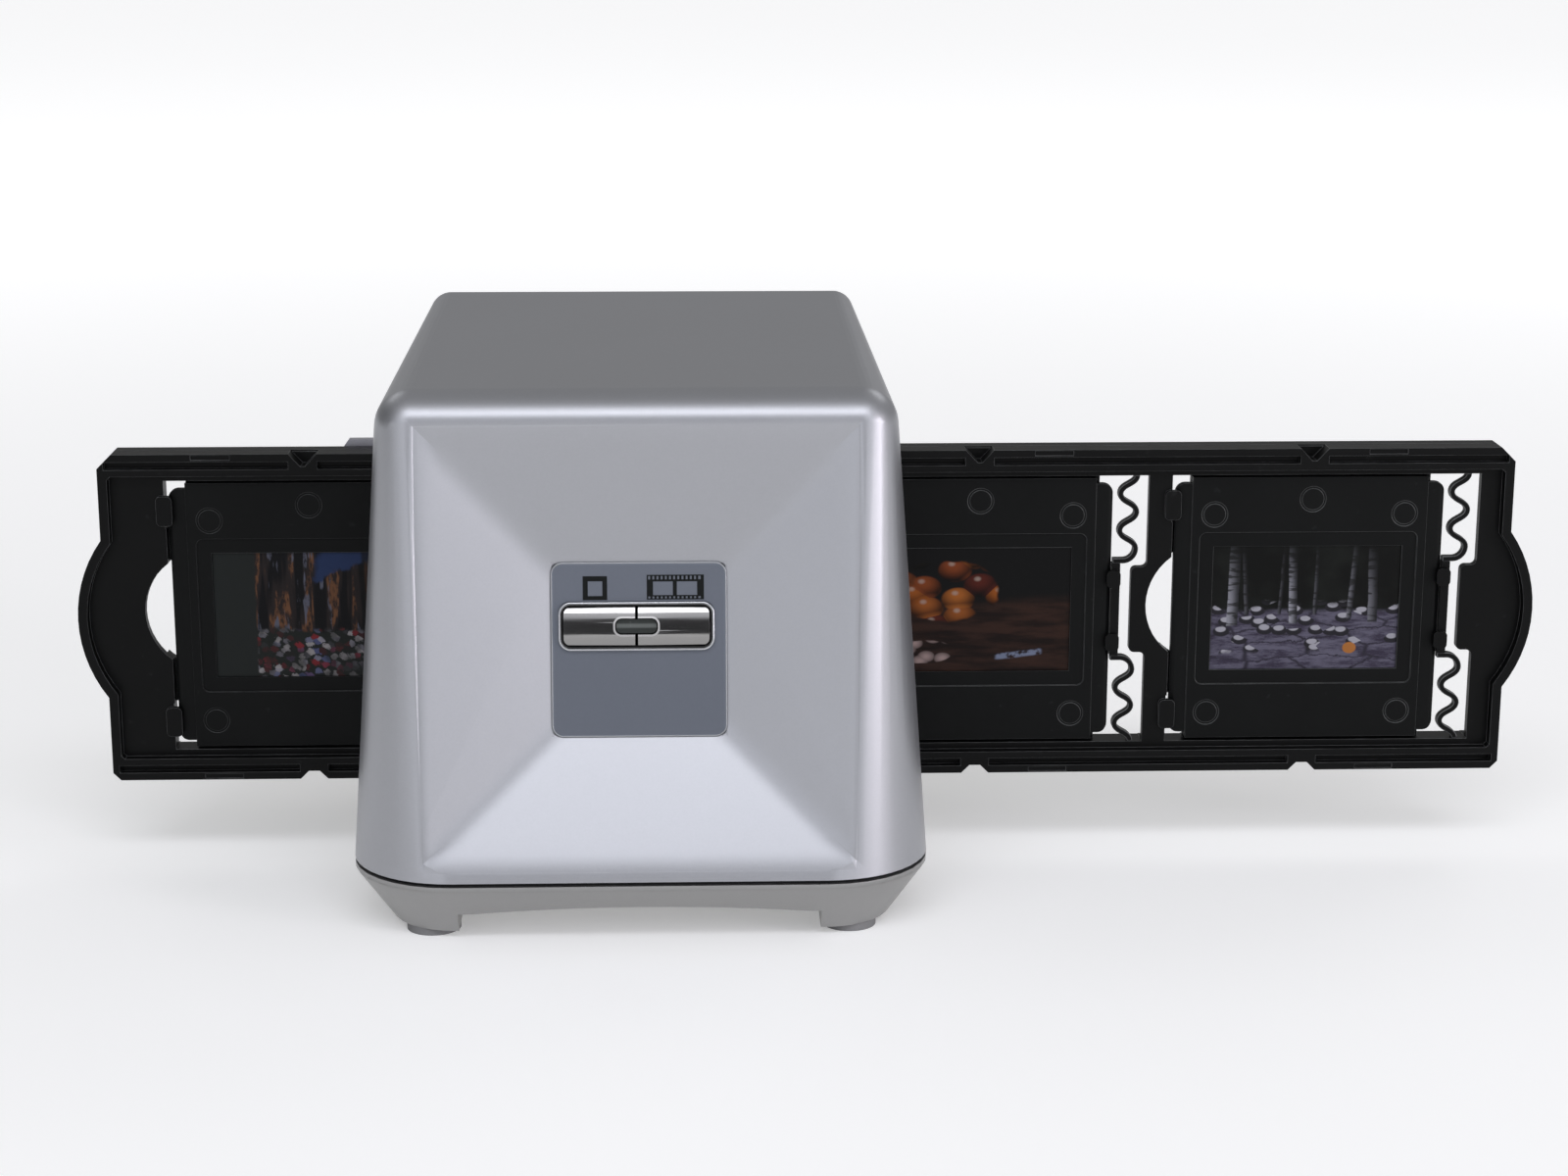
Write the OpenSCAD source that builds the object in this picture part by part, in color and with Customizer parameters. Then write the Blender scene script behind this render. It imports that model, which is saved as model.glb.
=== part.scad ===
// Desktop scanner for mounted slides and film.
// A silver housing on four feet, with a long tray that carries four slides through it from side to side.
// Frame: X runs along the tray, Y away from the user, Z up. The origin lies on the desk, under the middle
// of the tray, while the tray rests on its second slide.

/* [Housing] */
// Width of the housing at the seam
body_w = 100; // [96:1:124]
// Depth of the housing at the seam
body_d = 100; // [96:1:124]
// Height of the seam between the two shells
seam_z = 12.2; // [11.6:0.1:15]
// Height of the front end of the flat top
top_z = 94.2; // [92:0.1:116]
// Rise of the top towards the back, in degrees
top_rise = 4; // [0:0.5:6]
// Lean of the front face, in degrees
front_lean = 9; // [5:0.5:11]
// Lean of the back face, in degrees
back_lean = 1.5; // [0:0.5:4]
// Inward lean of each side, in degrees
side_lean = 4.2; // [2:0.1:5]
// How much each side comes in from front to back
back_taper = 3; // [0:0.5:5]
// Radius of the front corners at the seam
front_r = 18; // [12:0.5:20]
// Radius of the back corners at the seam
back_r = 9; // [6:0.5:12]
// Radius of the roll along the top's front and its front corners
top_front_r = 6.6; // [5:0.1:9]
// Radius of the roll along the top's back and its back corners
top_back_r = 4; // [3:0.1:6]
// Wall of both shells
wall = 2.2; // [1.8:0.1:2.6]
// Height of the dark line at the seam
seam_gap = 0.7; // [0.5:0.1:1]

/* [Front panel] */
// Depth of the sunk pyramid at the badge
panel_depth = 8; // [6:0.5:9]
// Side of the square badge plate
badge_size = 30; // [28:0.5:34]
// Thickness of the badge plate
badge_t = 0.8; // [0.6:0.1:1.2]
// Width of the chrome ring round the buttons
ring_w = 26.7; // [25:0.1:27.5]
// Height of the chrome ring round the buttons
ring_h = 8.4; // [7.6:0.1:9.4]
// Width of the ring's rim
ring_t = 0.7; // [0.5:0.1:1]
// Height of the buttons' centre above the badge's centre
button_rise = 4.1; // [2:0.1:6]
// How far a button travels
button_travel = 0.6; // [0.4:0.1:0.6]
// Width of the oval lamp between the buttons
lamp_oval_w = 6.9; // [5:0.1:8]
// Height of the oval lamp between the buttons
lamp_oval_h = 2.4; // [2:0.1:3]

/* [Base] */
// Height of the foot pads
pad_h = 1.4; // [1:0.1:2]
// Radius of the foot pads
pad_r = 4.7; // [4:0.1:5.5]
// How far the base draws in from the seam to the feet
base_inset = 6.5; // [4:0.5:8]
// Height of the underside of the floor
floor_z = 6.8; // [6.2:0.1:7.4]
// Thickness of the floor
floor_t = 2; // [1.6:0.1:2.4]

/* [Slides and tray] */
// How far the fin behind the tray's left entry stands out of the housing
lip_out = 10.3; // [6:0.1:12]
// Thickness of the fin behind the tray's left entry
lip_t = 1.5; // [1:0.1:2]
// Side of a slide mount
slide_size = 49.5; // [46:0.5:60]
// Thickness of a slide mount
slide_t = 1.8; // [1.4:0.1:2.2]
// Width of a mount's window
window_w = 34.8; // [30:0.1:36]
// Height of a mount's window
window_h = 23.4; // [20:0.1:26]
// Thickness of the film in a mount
film_t = 0.2; // [0.15:0.01:0.3]
// Space between neighbouring slides
slide_gap = 11.5; // [10.5:0.1:13]
// Height of the tray's top and bottom rails
rail_h = 5.25; // [4.8:0.05:7]
// Length of tray beyond the outer compartments
tray_end = 6.3; // [5.5:0.1:9]
// Thickness of the tray
tray_t = 7; // [6.5:0.1:9]
// How far the rounded grips stand out of the tray's ends
grip_out = 4.8; // [3:0.1:6]
// Radius of the rounded grips
grip_r = 25; // [20:0.5:30]
// Middle of the tray behind the housing's middle
tray_y = 1; // [-2:0.5:4]
// Bottom of the tray above the seam
tray_above_seam = 3.9; // [3.7:0.1:6]
// Travel of a push bar that holds a slide
bar_travel = 1.5; // [1:0.1:1.6]

/* [Fits] */
// Clearance between the tray and its guide
guide_gap = 0.5; // [0.4:0.05:0.8]
// Clearance round a slide in its pocket
pocket_gap = 0.5; // [0.3:0.05:0.7]
// Clearance round the buttons
button_gap = 0.2; // [0.15:0.05:0.3]
// Clearance round the screws
screw_gap = 0.1; // [0.05:0.05:0.2]

/* [Hidden] */
$fn = 48;

slides = 4;
rest_slide = 2;

// --- housing: places worked out from the sizes above ---
ball_z = top_z - top_front_r * cos(top_rise);
ball_y = -body_d / 2 + (ball_z - seam_z) * tan(front_lean) + top_front_r / cos(front_lean);
ball_x = body_w / 2 - (ball_z - seam_z) * tan(side_lean) - top_front_r / cos(side_lean);
flat_y = ball_y - top_front_r * sin(top_rise);
back_reach = body_d / 2 + seam_z * tan(back_lean) - top_back_r / cos(back_lean) - flat_y;
back_ball_z = (top_z + back_reach * tan(top_rise) - top_back_r / cos(top_rise))
    / (1 + tan(back_lean) * tan(top_rise));
back_ball_y = body_d / 2 - (back_ball_z - seam_z) * tan(back_lean) - top_back_r / cos(back_lean);
back_ball_x = body_w / 2 - back_taper - (back_ball_z - seam_z) * tan(side_lean)
    - top_back_r / cos(side_lean);

// --- tray and slides ---
pitch = slide_size + slide_gap;
tray_half = slides * pitch / 2 + tray_end;
tray_h = slide_size + 2 * pocket_gap + 2 * rail_h;
tray_z = seam_z + tray_above_seam + tray_h / 2;
tray_corner = 2.6;
tray_corner_low = 1.4;
rim_t = 1.7;
lip_h = rail_h - 1.2;
rail_lip = 1.4;
groove_h = 1.4;
groove_d = 1.6;
web_front = 1.4;
web_t = 1.6;
floor_web = 1.3;
tub_wall = 1.2;
pocket_floor = 0.8;
slide_y = -0.3;
band_w = 3.1;
band_step = 0.3;
band_short = 1.1;
ledge = 3.2;
push_x = slide_size / 2 + 0.1;
bar_t = 1.5;
bar_half = 8.7;
well_w = 6.4;
slot_w = 3.5;
step_r = 1;
rest_shift = 0.4;
body_x = (rest_slide - (slides + 1) / 2) * pitch - rest_shift;

// --- guide and optics, seen from above ---
guide_front = tray_y - tray_t / 2 - guide_gap;
guide_back = tray_y + tray_t / 2 + guide_gap;
guide_low = tray_z - tray_h / 2 - guide_gap;
guide_high = tray_z + tray_h / 2 + guide_gap;
chassis_t = 1.5;
gate_t = 2;
chassis_half = body_w / 2 - (guide_high + chassis_t - seam_z) * tan(side_lean)
    - back_taper / 2 - wall - 0.6;
frame_w = window_w + 1.8;
frame_h = window_h + 1.8;

// --- front panel, in its own leaning frame: x across, y into the housing, z up the face ---
panel_low = 1.8;
panel_high = (ball_z - seam_z) * cos(front_lean) + (ball_y + body_d / 2) * sin(front_lean);
panel_half = ball_x - 0.5;
badge_z = (panel_low + panel_high) / 2 - 0.7;
badge_r = 2;
badge_sink = 0.5;
button_z = badge_z + button_rise;
button_x = -0.4;
ring_r = 2.1;
face = panel_depth + badge_sink - badge_t;
floor_front = panel_depth + badge_sink;
floor_back = floor_front + wall;
ring_front = face - 0.8;
ring_back = floor_front + 1.2;
cap_front = face - 1.2;
flange_front = floor_back + 0.2;
flange_t = 0.8;
stem_end = flange_front + flange_t + 0.5;
plunger_front = stem_end + button_travel + 0.1;
switch_front = plunger_front + 0.4;
board_front = switch_front + 2;
button_board_t = 1.2;
board_post_x = 17.5;

// --- light box and camera, in depth order ---
lamp_front = -body_d / 2 + (board_front + button_board_t + 1.3) * cos(front_lean)
    + (button_z + 8) * sin(front_lean) + 0.6;
lamp_board_t = 1.6;
box_front = lamp_front + lamp_board_t;
box_back = guide_front - chassis_t;
box_wall = 1.5;
diffuser_t = 1.5;
sensor_back = body_d / 2 - wall - 7.2;
sensor_board_t = 1.6;
holder_back = sensor_back - sensor_board_t;
holder_d = 8;
holder_front = holder_back - holder_d;
barrel_r = 6;
barrel_d = 12;
barrel_back = holder_back - 3;
main_z = 13;
main_t = 1.6;
main_front = guide_back + gate_t + 2;
main_back = body_d / 2 - wall - 3.3;
main_half = 31;
usb_x = -18;
usb_w = 12;
usb_h = 11;
usb_wall = 0.4;
usb_back = 16;
usb_sunk = 1.7;
usb_plug_w = 8.5;
usb_plug_h = 7.8;
usb_tip = 2.8;
screw_x = 36.2 + (body_w - 100) / 2;
screw_y = 37.3 + (body_d - 100) / 2;
screw_r = 1.4;
head_r = 2.6;
boss_r = 3.4;
main_screw_x = main_half - 3;
chassis_post_x = 30;

// --- shared shapes ---
module at_body() translate([body_x, 0, 0]) children();

module panel_frame() at_body() translate([0, -body_d / 2, seam_z]) rotate([-front_lean, 0, 0]) children();

// A flat shape drawn in X and Z, given a depth from front to back
module slab(front, back) translate([0, back, 0]) rotate([90, 0, 0]) linear_extrude(back - front) children();

module block(w, front, back, low, high)
    translate([-w / 2, front, low]) cube([w, back - front, high - low]);

module round_rect(w, h, r) {
    square([w - 2 * r, h], center = true);
    square([w, h - 2 * r], center = true);
    for (x = [-1, 1], z = [-1, 1]) translate([x * (w / 2 - r), z * (h / 2 - r)]) circle(r);
}

// A rectangle with its corners cut off, by c at the top and by low at the bottom
module chamfered(w, h, c, low) polygon([
    [-w / 2 + low, -h / 2], [w / 2 - low, -h / 2], [w / 2, -h / 2 + low], [w / 2, h / 2 - c],
    [w / 2 - c, h / 2], [-w / 2 + c, h / 2], [-w / 2, h / 2 - c], [-w / 2, -h / 2 + low]]);

// The housing's plan at the seam, drawn in by an inset
module plan_posts(inset, z, h) for (side = [-1, 1]) {
    translate([side * (body_w / 2 - front_r), -body_d / 2 + front_r, z])
        cylinder(r = front_r - inset, h = h);
    translate([side * (body_w / 2 - back_taper - back_r), body_d / 2 - back_r, z])
        cylinder(r = back_r - inset, h = h);
}

module housing_form(inset, low, sides) hull() {
    plan_posts(inset, low, 0.01, $fn = sides);
    for (side = [-1, 1]) {
        translate([side * ball_x, ball_y, ball_z]) sphere(top_front_r - inset, $fn = sides);
        translate([side * back_ball_x, back_ball_y, back_ball_z]) sphere(top_back_r - inset, $fn = sides);
    }
}

// The sunk pyramid, from past the face to the badge; grow thickens it on the hidden side
module panel_pyramid(grow) {
    slope_x = (panel_half - badge_size / 2) / panel_depth;
    slope_low = (badge_z - badge_size / 2 - panel_low) / panel_depth;
    slope_high = (panel_high - badge_z - badge_size / 2) / panel_depth;
    hull() {
        top = panel_half + slope_x + grow;
        low = panel_low - slope_low - grow;
        high = panel_high + slope_high + grow;
        slab(-1, -0.99) polygon([[-top - 1.2, low], [top + 1.2, low], [top, high], [-top, high]]);
        translate([-badge_size / 2 - grow, panel_depth + grow - 0.01, badge_z - badge_size / 2 - grow])
            cube([badge_size + 2 * grow, 0.01, badge_size + 2 * grow]);
    }
}

module base_form(inset, low, high) hull() {
    plan_posts(inset, high - 0.9, 0.9, $fn = 32);
    plan_posts(inset + base_inset * (high - low) / (seam_z - seam_gap - pad_h), low, 0.01, $fn = 32);
}

module corners(x, y) for (i = [-1, 1], j = [-1, 1]) translate([i * x, j * y, 0]) children();

// --- housing ---
module upper_shell() color("silver") {
    difference() {
        union() {
            difference() {
                at_body() housing_form(0, seam_z, 48);
                panel_frame() panel_pyramid(0);
                difference() {
                    at_body() housing_form(wall, seam_z - 0.1, 24);
                    panel_frame() panel_pyramid(wall);
                    at_body() upper_bosses();
                }
            }
            panel_frame() board_posts();
        }
        panel_frame() panel_cutouts();
        at_body() corners(screw_x, screw_y) translate([0, 0, seam_z - 1])
            cylinder(r = screw_r + screw_gap, h = 12);
        at_body() block(2 * body_w, guide_front, guide_back, guide_low, guide_high);
        at_body() entry_fin(guide_gap / 3);
        at_body() translate([usb_x, 0, main_z + main_t])
            block(usb_w + 0.8, body_d / 2 - 8, body_d / 2 + 5, -0.4, usb_h + 0.4);
    }
}

// Screw bosses, each with ribs that run out into the two walls beside it
module upper_bosses() for (i = [-1, 1], j = [-1, 1]) translate([i * screw_x, j * screw_y, seam_z - 1]) {
    cylinder(r = boss_r, h = 14);
    translate([i * 8, 0, 6.5]) cube([16, 1.6, 13], center = true);
    translate([0, j * 8, 6.5]) cube([1.6, 16, 13], center = true);
}

module board_posts() for (side = [-1, 1])
    translate([button_x + side * board_post_x, 0, button_z]) rotate([-90, 0, 0])
        translate([0, 0, panel_depth + 0.2]) difference() {
            cylinder(r = 2, h = board_front - panel_depth - 0.2);
            translate([0, 0, 2.5]) cylinder(r = 0.8 + screw_gap, h = 10);
        }

module panel_cutouts() {
    translate([0, 0, badge_z]) slab(panel_depth - 1, floor_front)
        round_rect(badge_size, badge_size, badge_r);
    translate([button_x, 0, button_z]) {
        slab(panel_depth, ring_back) round_rect(ring_w + 0.1, ring_h + 0.1, ring_r);
        slab(panel_depth, floor_back + 1)
            round_rect(ring_w - 2 * ring_t, ring_h - 2 * ring_t, ring_r - ring_t);
    }
}

module base_shell() color("silver") at_body() {
    rim_z = seam_z - seam_gap;
    floor_top = floor_z + floor_t;
    difference() {
        union() {
            difference() {
                base_form(0, pad_h, rim_z);
                base_form(wall, floor_top, rim_z + 2);
                base_underside();
            }
            corners(screw_x, screw_y) translate([0, 0, floor_z]) cylinder(r = boss_r, h = seam_z - floor_z);
            for (side = [-1, 1]) translate([side * chassis_post_x, (guide_front + guide_back) / 2, floor_z])
                cylinder(r = 3, h = guide_low - chassis_t - floor_z);
            main_board_places() translate([0, 0, floor_z]) cylinder(r = 2.4, h = main_z - floor_z);
        }
        corners(screw_x, screw_y) {
            translate([0, 0, 0]) cylinder(r = screw_r + screw_gap, h = seam_z + 1);
            cylinder(r = head_r + 0.2, h = pad_h + 2.6);
        }
        for (side = [-1, 1])
            translate([side * chassis_post_x, (guide_front + guide_back) / 2, floor_z - 1]) {
                cylinder(r = 1.2 + screw_gap, h = 20);
                cylinder(r = 2.4, h = 2.7);
            }
        main_board_places() translate([0, 0, floor_z + 1.5]) cylinder(r = 1 + screw_gap, h = 20);
    }
}

// Hollows the base below its floor, leaving a skirt with shallow arches and four corner legs
module base_underside() {
    leg_x = screw_x - 5.2;
    leg_y = screw_y - 5.2;
    arch_r = 300;
    round = 360;
    skirt_z = floor_z - 1.4;
    difference() {
        translate([-body_w, -body_d, -1]) cube([2 * body_w, 2 * body_d, floor_z + 1]);
        corners(screw_x + 15, screw_y + 15) translate([-20.2, -20.2, -2]) cube([40, 40, floor_z + 4]);
        difference() {
            translate([-body_w, -body_d, skirt_z]) cube([2 * body_w, 2 * body_d, floor_z + 1]);
            translate([0, 0, floor_z - arch_r]) rotate([90, 0, 0])
                cylinder(r = arch_r, h = 3 * body_d, center = true, $fn = round);
            translate([0, 0, floor_z - arch_r]) rotate([0, 90, 0])
                cylinder(r = arch_r, h = 3 * body_w, center = true, $fn = round);
        }
    }
}

module main_board_places() for (x = [-1, 1], y = [main_front + 3, main_back - 3])
    translate([x * main_screw_x, y, 0]) children();

module seam_seal() color("black") at_body() difference() {
    hull() plan_posts(0.8, seam_z - seam_gap, seam_gap, $fn = 32);
    translate([0, 0, -1]) hull() plan_posts(wall, seam_z - seam_gap, seam_gap + 2, $fn = 32);
}

module foot_pads() color("dimgray") at_body() corners(screw_x, screw_y) cylinder(r = pad_r, h = pad_h);

module base_screws() color("gray") at_body() corners(screw_x, screw_y) {
    translate([0, 0, pad_h + 0.6]) cylinder(r = head_r, h = 2);
    translate([0, 0, pad_h + 2.6]) cylinder(r = screw_r, h = 17);
}

// --- badge and buttons ---
module badge_plate() color("lightslategray") panel_frame() difference() {
    translate([0, 0, badge_z]) slab(face, floor_front)
        round_rect(badge_size - 0.1, badge_size - 0.1, badge_r);
    translate([button_x, 0, button_z]) slab(0, floor_back) round_rect(ring_w + 0.1, ring_h + 0.1, ring_r);
}

module button_ring() color("gainsboro") panel_frame() translate([button_x, 0, button_z]) difference() {
    slab(ring_front, ring_back) round_rect(ring_w, ring_h, ring_r);
    slab(ring_front - 1, ring_back + 1)
        round_rect(ring_w - 2 * ring_t, ring_h - 2 * ring_t, ring_r - ring_t);
}

// One button, on the given side of the lamp: a crowned cap, a flange behind the panel and a stem
module button_cap(side) {
    open_w = ring_w - 2 * ring_t;
    open_h = ring_h - 2 * ring_t;
    cap_w = (open_w - 2.5 * button_gap) / 2 - button_gap;
    cap_h = open_h - 2 * button_gap;
    cap_x = side * (open_w / 2 - button_gap - cap_w / 2);
    crown_r = 7;
    difference() {
        union() {
            intersection() {
                slab(cap_front, flange_front + flange_t)
                    round_rect(open_w - 2 * button_gap, cap_h, ring_r - ring_t - button_gap);
                translate([cap_x, 0, 0]) slab(0, 2 * floor_back) square([cap_w, 2 * cap_h], center = true);
                translate([0, cap_front + crown_r, 0]) rotate([0, 90, 0]) union() {
                    cylinder(r = crown_r, h = body_w, center = true);
                    translate([-crown_r, 0, -body_w / 2]) cube([2 * crown_r, 20, body_w]);
                }
            }
            translate([cap_x + side * 0.4, 0, 0]) slab(flange_front, flange_front + flange_t)
                square([cap_w + 0.8, cap_h + 1.6], center = true);
            translate([cap_x, stem_end, 0]) rotate([90, 0, 0]) cylinder(r = 1.2, h = 1.2);
        }
        slab(0, 2 * floor_back) round_rect(lamp_oval_w + 2 * button_gap, lamp_oval_h + 2 * button_gap,
            lamp_oval_h / 2.6 + button_gap);
    }
}

module slide_button() color("gainsboro") panel_frame() translate([button_x, 0, button_z]) button_cap(-1);

module film_button() color("gainsboro") panel_frame() translate([button_x, 0, button_z]) button_cap(1);

module status_lamp() color("darkslategray") panel_frame() translate([button_x, 0, button_z]) difference() {
    union() {
        slab(face - 0.6, plunger_front) round_rect(lamp_oval_w, lamp_oval_h, lamp_oval_h / 2.6);
        slab(plunger_front - 1, board_front) square([4.6, lamp_oval_h - 0.4], center = true);
    }
    slab(board_front - 1.5, board_front + 1) square([2.4, 1.4], center = true);
}

module button_board() color("seagreen") panel_frame() translate([button_x, 0, button_z]) difference() {
    slab(board_front, board_front + button_board_t) square([42, 15], center = true);
    for (side = [-1, 1]) translate([side * board_post_x, 0, 0]) rotate([-90, 0, 0])
        cylinder(r = 0.8 + screw_gap, h = 40);
}

module button_switches() color("black") panel_frame() translate([button_x, 0, button_z])
    for (side = [-1, 1])
    translate([side * (ring_w / 4 - 0.4), 0, 0]) {
        slab(switch_front, board_front) square([6, 6], center = true);
        translate([0, switch_front, 0]) rotate([90, 0, 0])
            cylinder(r = 1.6, h = switch_front - plunger_front);
    }

// --- tray guide ---
// The fin behind the tray's left entry, grown by a clearance for its slot in the housing
module entry_fin(grow) {
    reach = body_w / 2 - (guide_high - seam_z) * tan(side_lean) - back_taper / 2;
    left = -reach - lip_out - grow;
    high = guide_high + 0.7 + grow;
    low = guide_low + 2 - grow;
    slab(guide_back - grow, guide_back + lip_t + grow)
        polygon([[left, low], [left, high - 1.4], [left + 1, high],
            [-chassis_half, high], [-chassis_half, low]]);
}

module entry_guide() color("silver") at_body() entry_fin(0);

module tray_chassis() color("dimgray") at_body() difference() {
    union() {
        block(2 * chassis_half, guide_front - chassis_t, guide_back + gate_t,
            guide_low - chassis_t, guide_high + chassis_t);
        translate([0, 0, tray_z])
            block(frame_w + 8, guide_back, holder_front, -frame_h / 2 - 4, frame_h / 2 + 4);
    }
    block(2 * body_w, guide_front, guide_back, guide_low, guide_high);
    translate([0, 0, tray_z]) {
        block(frame_w, guide_front - 5, guide_front + 1, -frame_h / 2, frame_h / 2);
        block(window_w + 0.8, guide_back - 1, guide_back + gate_t + 1,
            -window_h / 2 - 0.4, window_h / 2 + 0.4);
        block(frame_w + 4, guide_back + gate_t, holder_front - 2, -frame_h / 2 - 2, frame_h / 2 + 2);
        rotate([-90, 0, 0]) cylinder(r = barrel_r + screw_gap, h = 2 * body_d);
    }
    translate([0, 0, guide_high - 1]) block(8, tray_y - 3.2, tray_y + 0.2, 0, 10);
    for (side = [-1, 1]) translate([side * chassis_post_x, (guide_front + guide_back) / 2, 0])
        cylinder(r = 1.2 + screw_gap, h = guide_low - 0.2);
}

module detent_spring() color("lightgray") at_body() {
    rest = guide_high + chassis_t;
    tip = tray_z + tray_h / 2 + 0.3;
    leaf = 0.4;
    slab(tray_y - 3, tray_y) polygon([[-20, rest], [-3, rest], [0, tip], [3, rest], [20, rest],
        [20, rest + leaf], [2.8, rest + leaf], [0, tip + leaf * 1.6],
        [-2.8, rest + leaf], [-20, rest + leaf]]);
}

module chassis_screws() color("gray") at_body() for (side = [-1, 1])
    translate([side * chassis_post_x, (guide_front + guide_back) / 2, floor_z + 0.1]) {
        cylinder(r = 2.2, h = 1.6);
        translate([0, 0, 1.6]) cylinder(r = 1.2, h = guide_low - 0.3 - floor_z - 1.7);
    }

// --- lamp side ---
module light_box() color("white") at_body() translate([0, 0, tray_z]) difference() {
    block(frame_w + 6, box_front, box_back, -frame_h / 2 - 3, frame_h / 2 + 3);
    block(frame_w + 6 - 2 * box_wall, box_front - 1, box_back - diffuser_t,
        -frame_h / 2 - 3 + box_wall, frame_h / 2 + 3 - box_wall);
    block(frame_w, box_front, box_back + 1, -frame_h / 2, frame_h / 2);
}

module lamp_board() color("seagreen") at_body() translate([0, 0, tray_z])
    block(frame_w + 6, lamp_front, box_front, -frame_h / 2 - 3, frame_h / 2 + 3);

module lamp_leds() color("lemonchiffon") at_body() translate([0, 0, tray_z])
    for (x = [-1, 0, 1], z = [-1, 1]) translate([x * frame_w / 3.2, 0, z * frame_h / 4])
        block(3.5, box_front, box_front + 1.2, -1.4, 1.4);

module diffuser_plate() color("white") at_body() translate([0, 0, tray_z])
    block(frame_w + 6 - 2 * box_wall - 0.2, box_back - 2 * diffuser_t, box_back - diffuser_t,
        -frame_h / 2 - 2.9 + box_wall, frame_h / 2 + 2.9 - box_wall);

// --- camera side ---
module lens_holder() color("black") at_body() translate([0, 0, tray_z]) difference() {
    union() {
        block(16, holder_front, holder_back, -8, 8);
        block(26, holder_back - 2.5, holder_back, -9, 9);
    }
    rotate([-90, 0, 0]) cylinder(r = barrel_r + screw_gap, h = holder_back - 3);
    block(13, holder_back - 3.2, holder_back + 1, -6, 6);
    for (side = [-1, 1]) translate([side * 10.5, holder_back - 2, 0]) rotate([-90, 0, 0])
        cylinder(r = 0.9, h = 5);
}

module lens_barrel() color("black") at_body() translate([0, barrel_back - barrel_d, tray_z])
    rotate([-90, 0, 0]) difference() {
        cylinder(r = barrel_r, h = barrel_d);
        translate([0, 0, -1]) cylinder(r = 3.2, h = barrel_d + 2);
        translate([0, 0, -1]) cylinder(r = 4.4, h = 2.4);
    }

module lens_glass() color("lightcyan") at_body() translate([0, barrel_back - barrel_d, tray_z])
    rotate([-90, 0, 0]) for (z = [3, 7]) intersection() {
        translate([0, 0, z]) cylinder(r = 3.2, h = 2.4);
        translate([0, 0, z + 1.2 - 5]) sphere(6.2);
        translate([0, 0, z + 1.2 + 5]) sphere(6.2);
    }

module sensor_board() color("seagreen") at_body() translate([0, 0, tray_z]) difference() {
    block(30, holder_back, sensor_back, -15, 15);
    for (side = [-1, 1]) translate([side * 10.5, holder_back - 1, 0]) rotate([-90, 0, 0])
        cylinder(r = 0.9, h = 5);
}

module image_sensor() color("darkslategray") at_body() translate([0, 0, tray_z])
    block(11.5, holder_back - 1.4, holder_back, -5, 5);

// --- boards on the floor ---
module main_board() color("seagreen") at_body() difference() {
    block(2 * main_half, main_front, main_back, main_z, main_z + main_t);
    main_board_places() cylinder(r = 1 + screw_gap, h = main_z + 10);
}

module board_parts() color("black") at_body() {
    top = main_z + main_t;
    for (chip = [[8, 22, 12, 12, 1.4], [-10, 17, 9, 9, 1.2], [22, 24, 7, 5, 1.1]])
        translate([chip[0], main_front + chip[1], top]) translate([-chip[2] / 2, -chip[3] / 2, 0])
            cube([chip[2], chip[3], chip[4]]);
    for (x = [14, 20]) translate([x, main_front + 9, top]) cylinder(r = 2, h = 3);
    translate([0, sensor_back + 0.15, top]) block(14, -2, 2, 0, 1.5);
}

module at_usb() at_body() translate([usb_x, body_d / 2 - usb_sunk, main_z + main_t]) children();

module usb_socket() color("silver") at_usb() difference() {
    block(usb_w, -usb_back, 0, 0, usb_h);
    block(usb_w - 2 * usb_wall, -usb_back + usb_wall, 1, usb_wall, usb_h - usb_wall);
}

// The socket's insulator: a five-sided mouth for the plug, with the contacts' tongue in it
module usb_core() color("white") at_usb() translate([0, 0, usb_h / 2]) difference() {
    block(usb_w - 2 * usb_wall, -usb_back + usb_wall, -0.4, -usb_h / 2 + usb_wall, usb_h / 2 - usb_wall);
    difference() {
        slab(-11, 1) polygon([
            [-usb_plug_w / 2, -usb_plug_h / 2], [usb_plug_w / 2, -usb_plug_h / 2],
            [usb_plug_w / 2, usb_plug_h / 2 - 1.7], [usb_plug_w / 2 - 1.5, usb_plug_h / 2],
            [-usb_plug_w / 2 + 1.5, usb_plug_h / 2], [-usb_plug_w / 2, usb_plug_h / 2 - 1.7]]);
        block(5.6, -12, -usb_tip, -1.6, 1.6);
    }
}

module small_screw(r, length) {
    cylinder(r = r, h = length);
    translate([0, 0, length]) cylinder(r = 1.8 * r, h = r);
}

module board_screws() color("gray") {
    at_body() main_board_places() translate([0, 0, main_z + main_t - 4.5]) small_screw(1, 4.5);
    at_body() for (side = [-1, 1]) translate([side * 10.5, sensor_back - 3.2, tray_z])
        rotate([-90, 0, 0]) small_screw(0.8, 3.2);
    panel_frame() for (side = [-1, 1])
        translate([button_x + side * board_post_x, board_front - 2, button_z])
            rotate([-90, 0, 0]) small_screw(0.8, 2 + button_board_t);
}

module sensor_cable() color("orange") at_body()
    block(12, sensor_back, sensor_back + 0.3, main_z + main_t + 1.5, tray_z - 12);

module front_cables() color("orange") at_body() {
    low = floor_z + floor_t + 0.4;
    t = 0.4;
    rise = main_z;
    turn = main_front + 2;
    for (run = [[-9, lamp_front - 2.6, tray_z - 8], [9, lamp_front - t, tray_z - frame_h / 2 - 1]])
        translate([run[0] - 4, 0, 0]) rotate([90, 0, 90]) linear_extrude(8) polygon([
            [run[1], run[2]], [run[1], low], [turn + t, low], [turn + t, rise],
            [turn, rise], [turn, low + t], [run[1] + t, low + t], [run[1] + t, run[2]]]);
}

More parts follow.
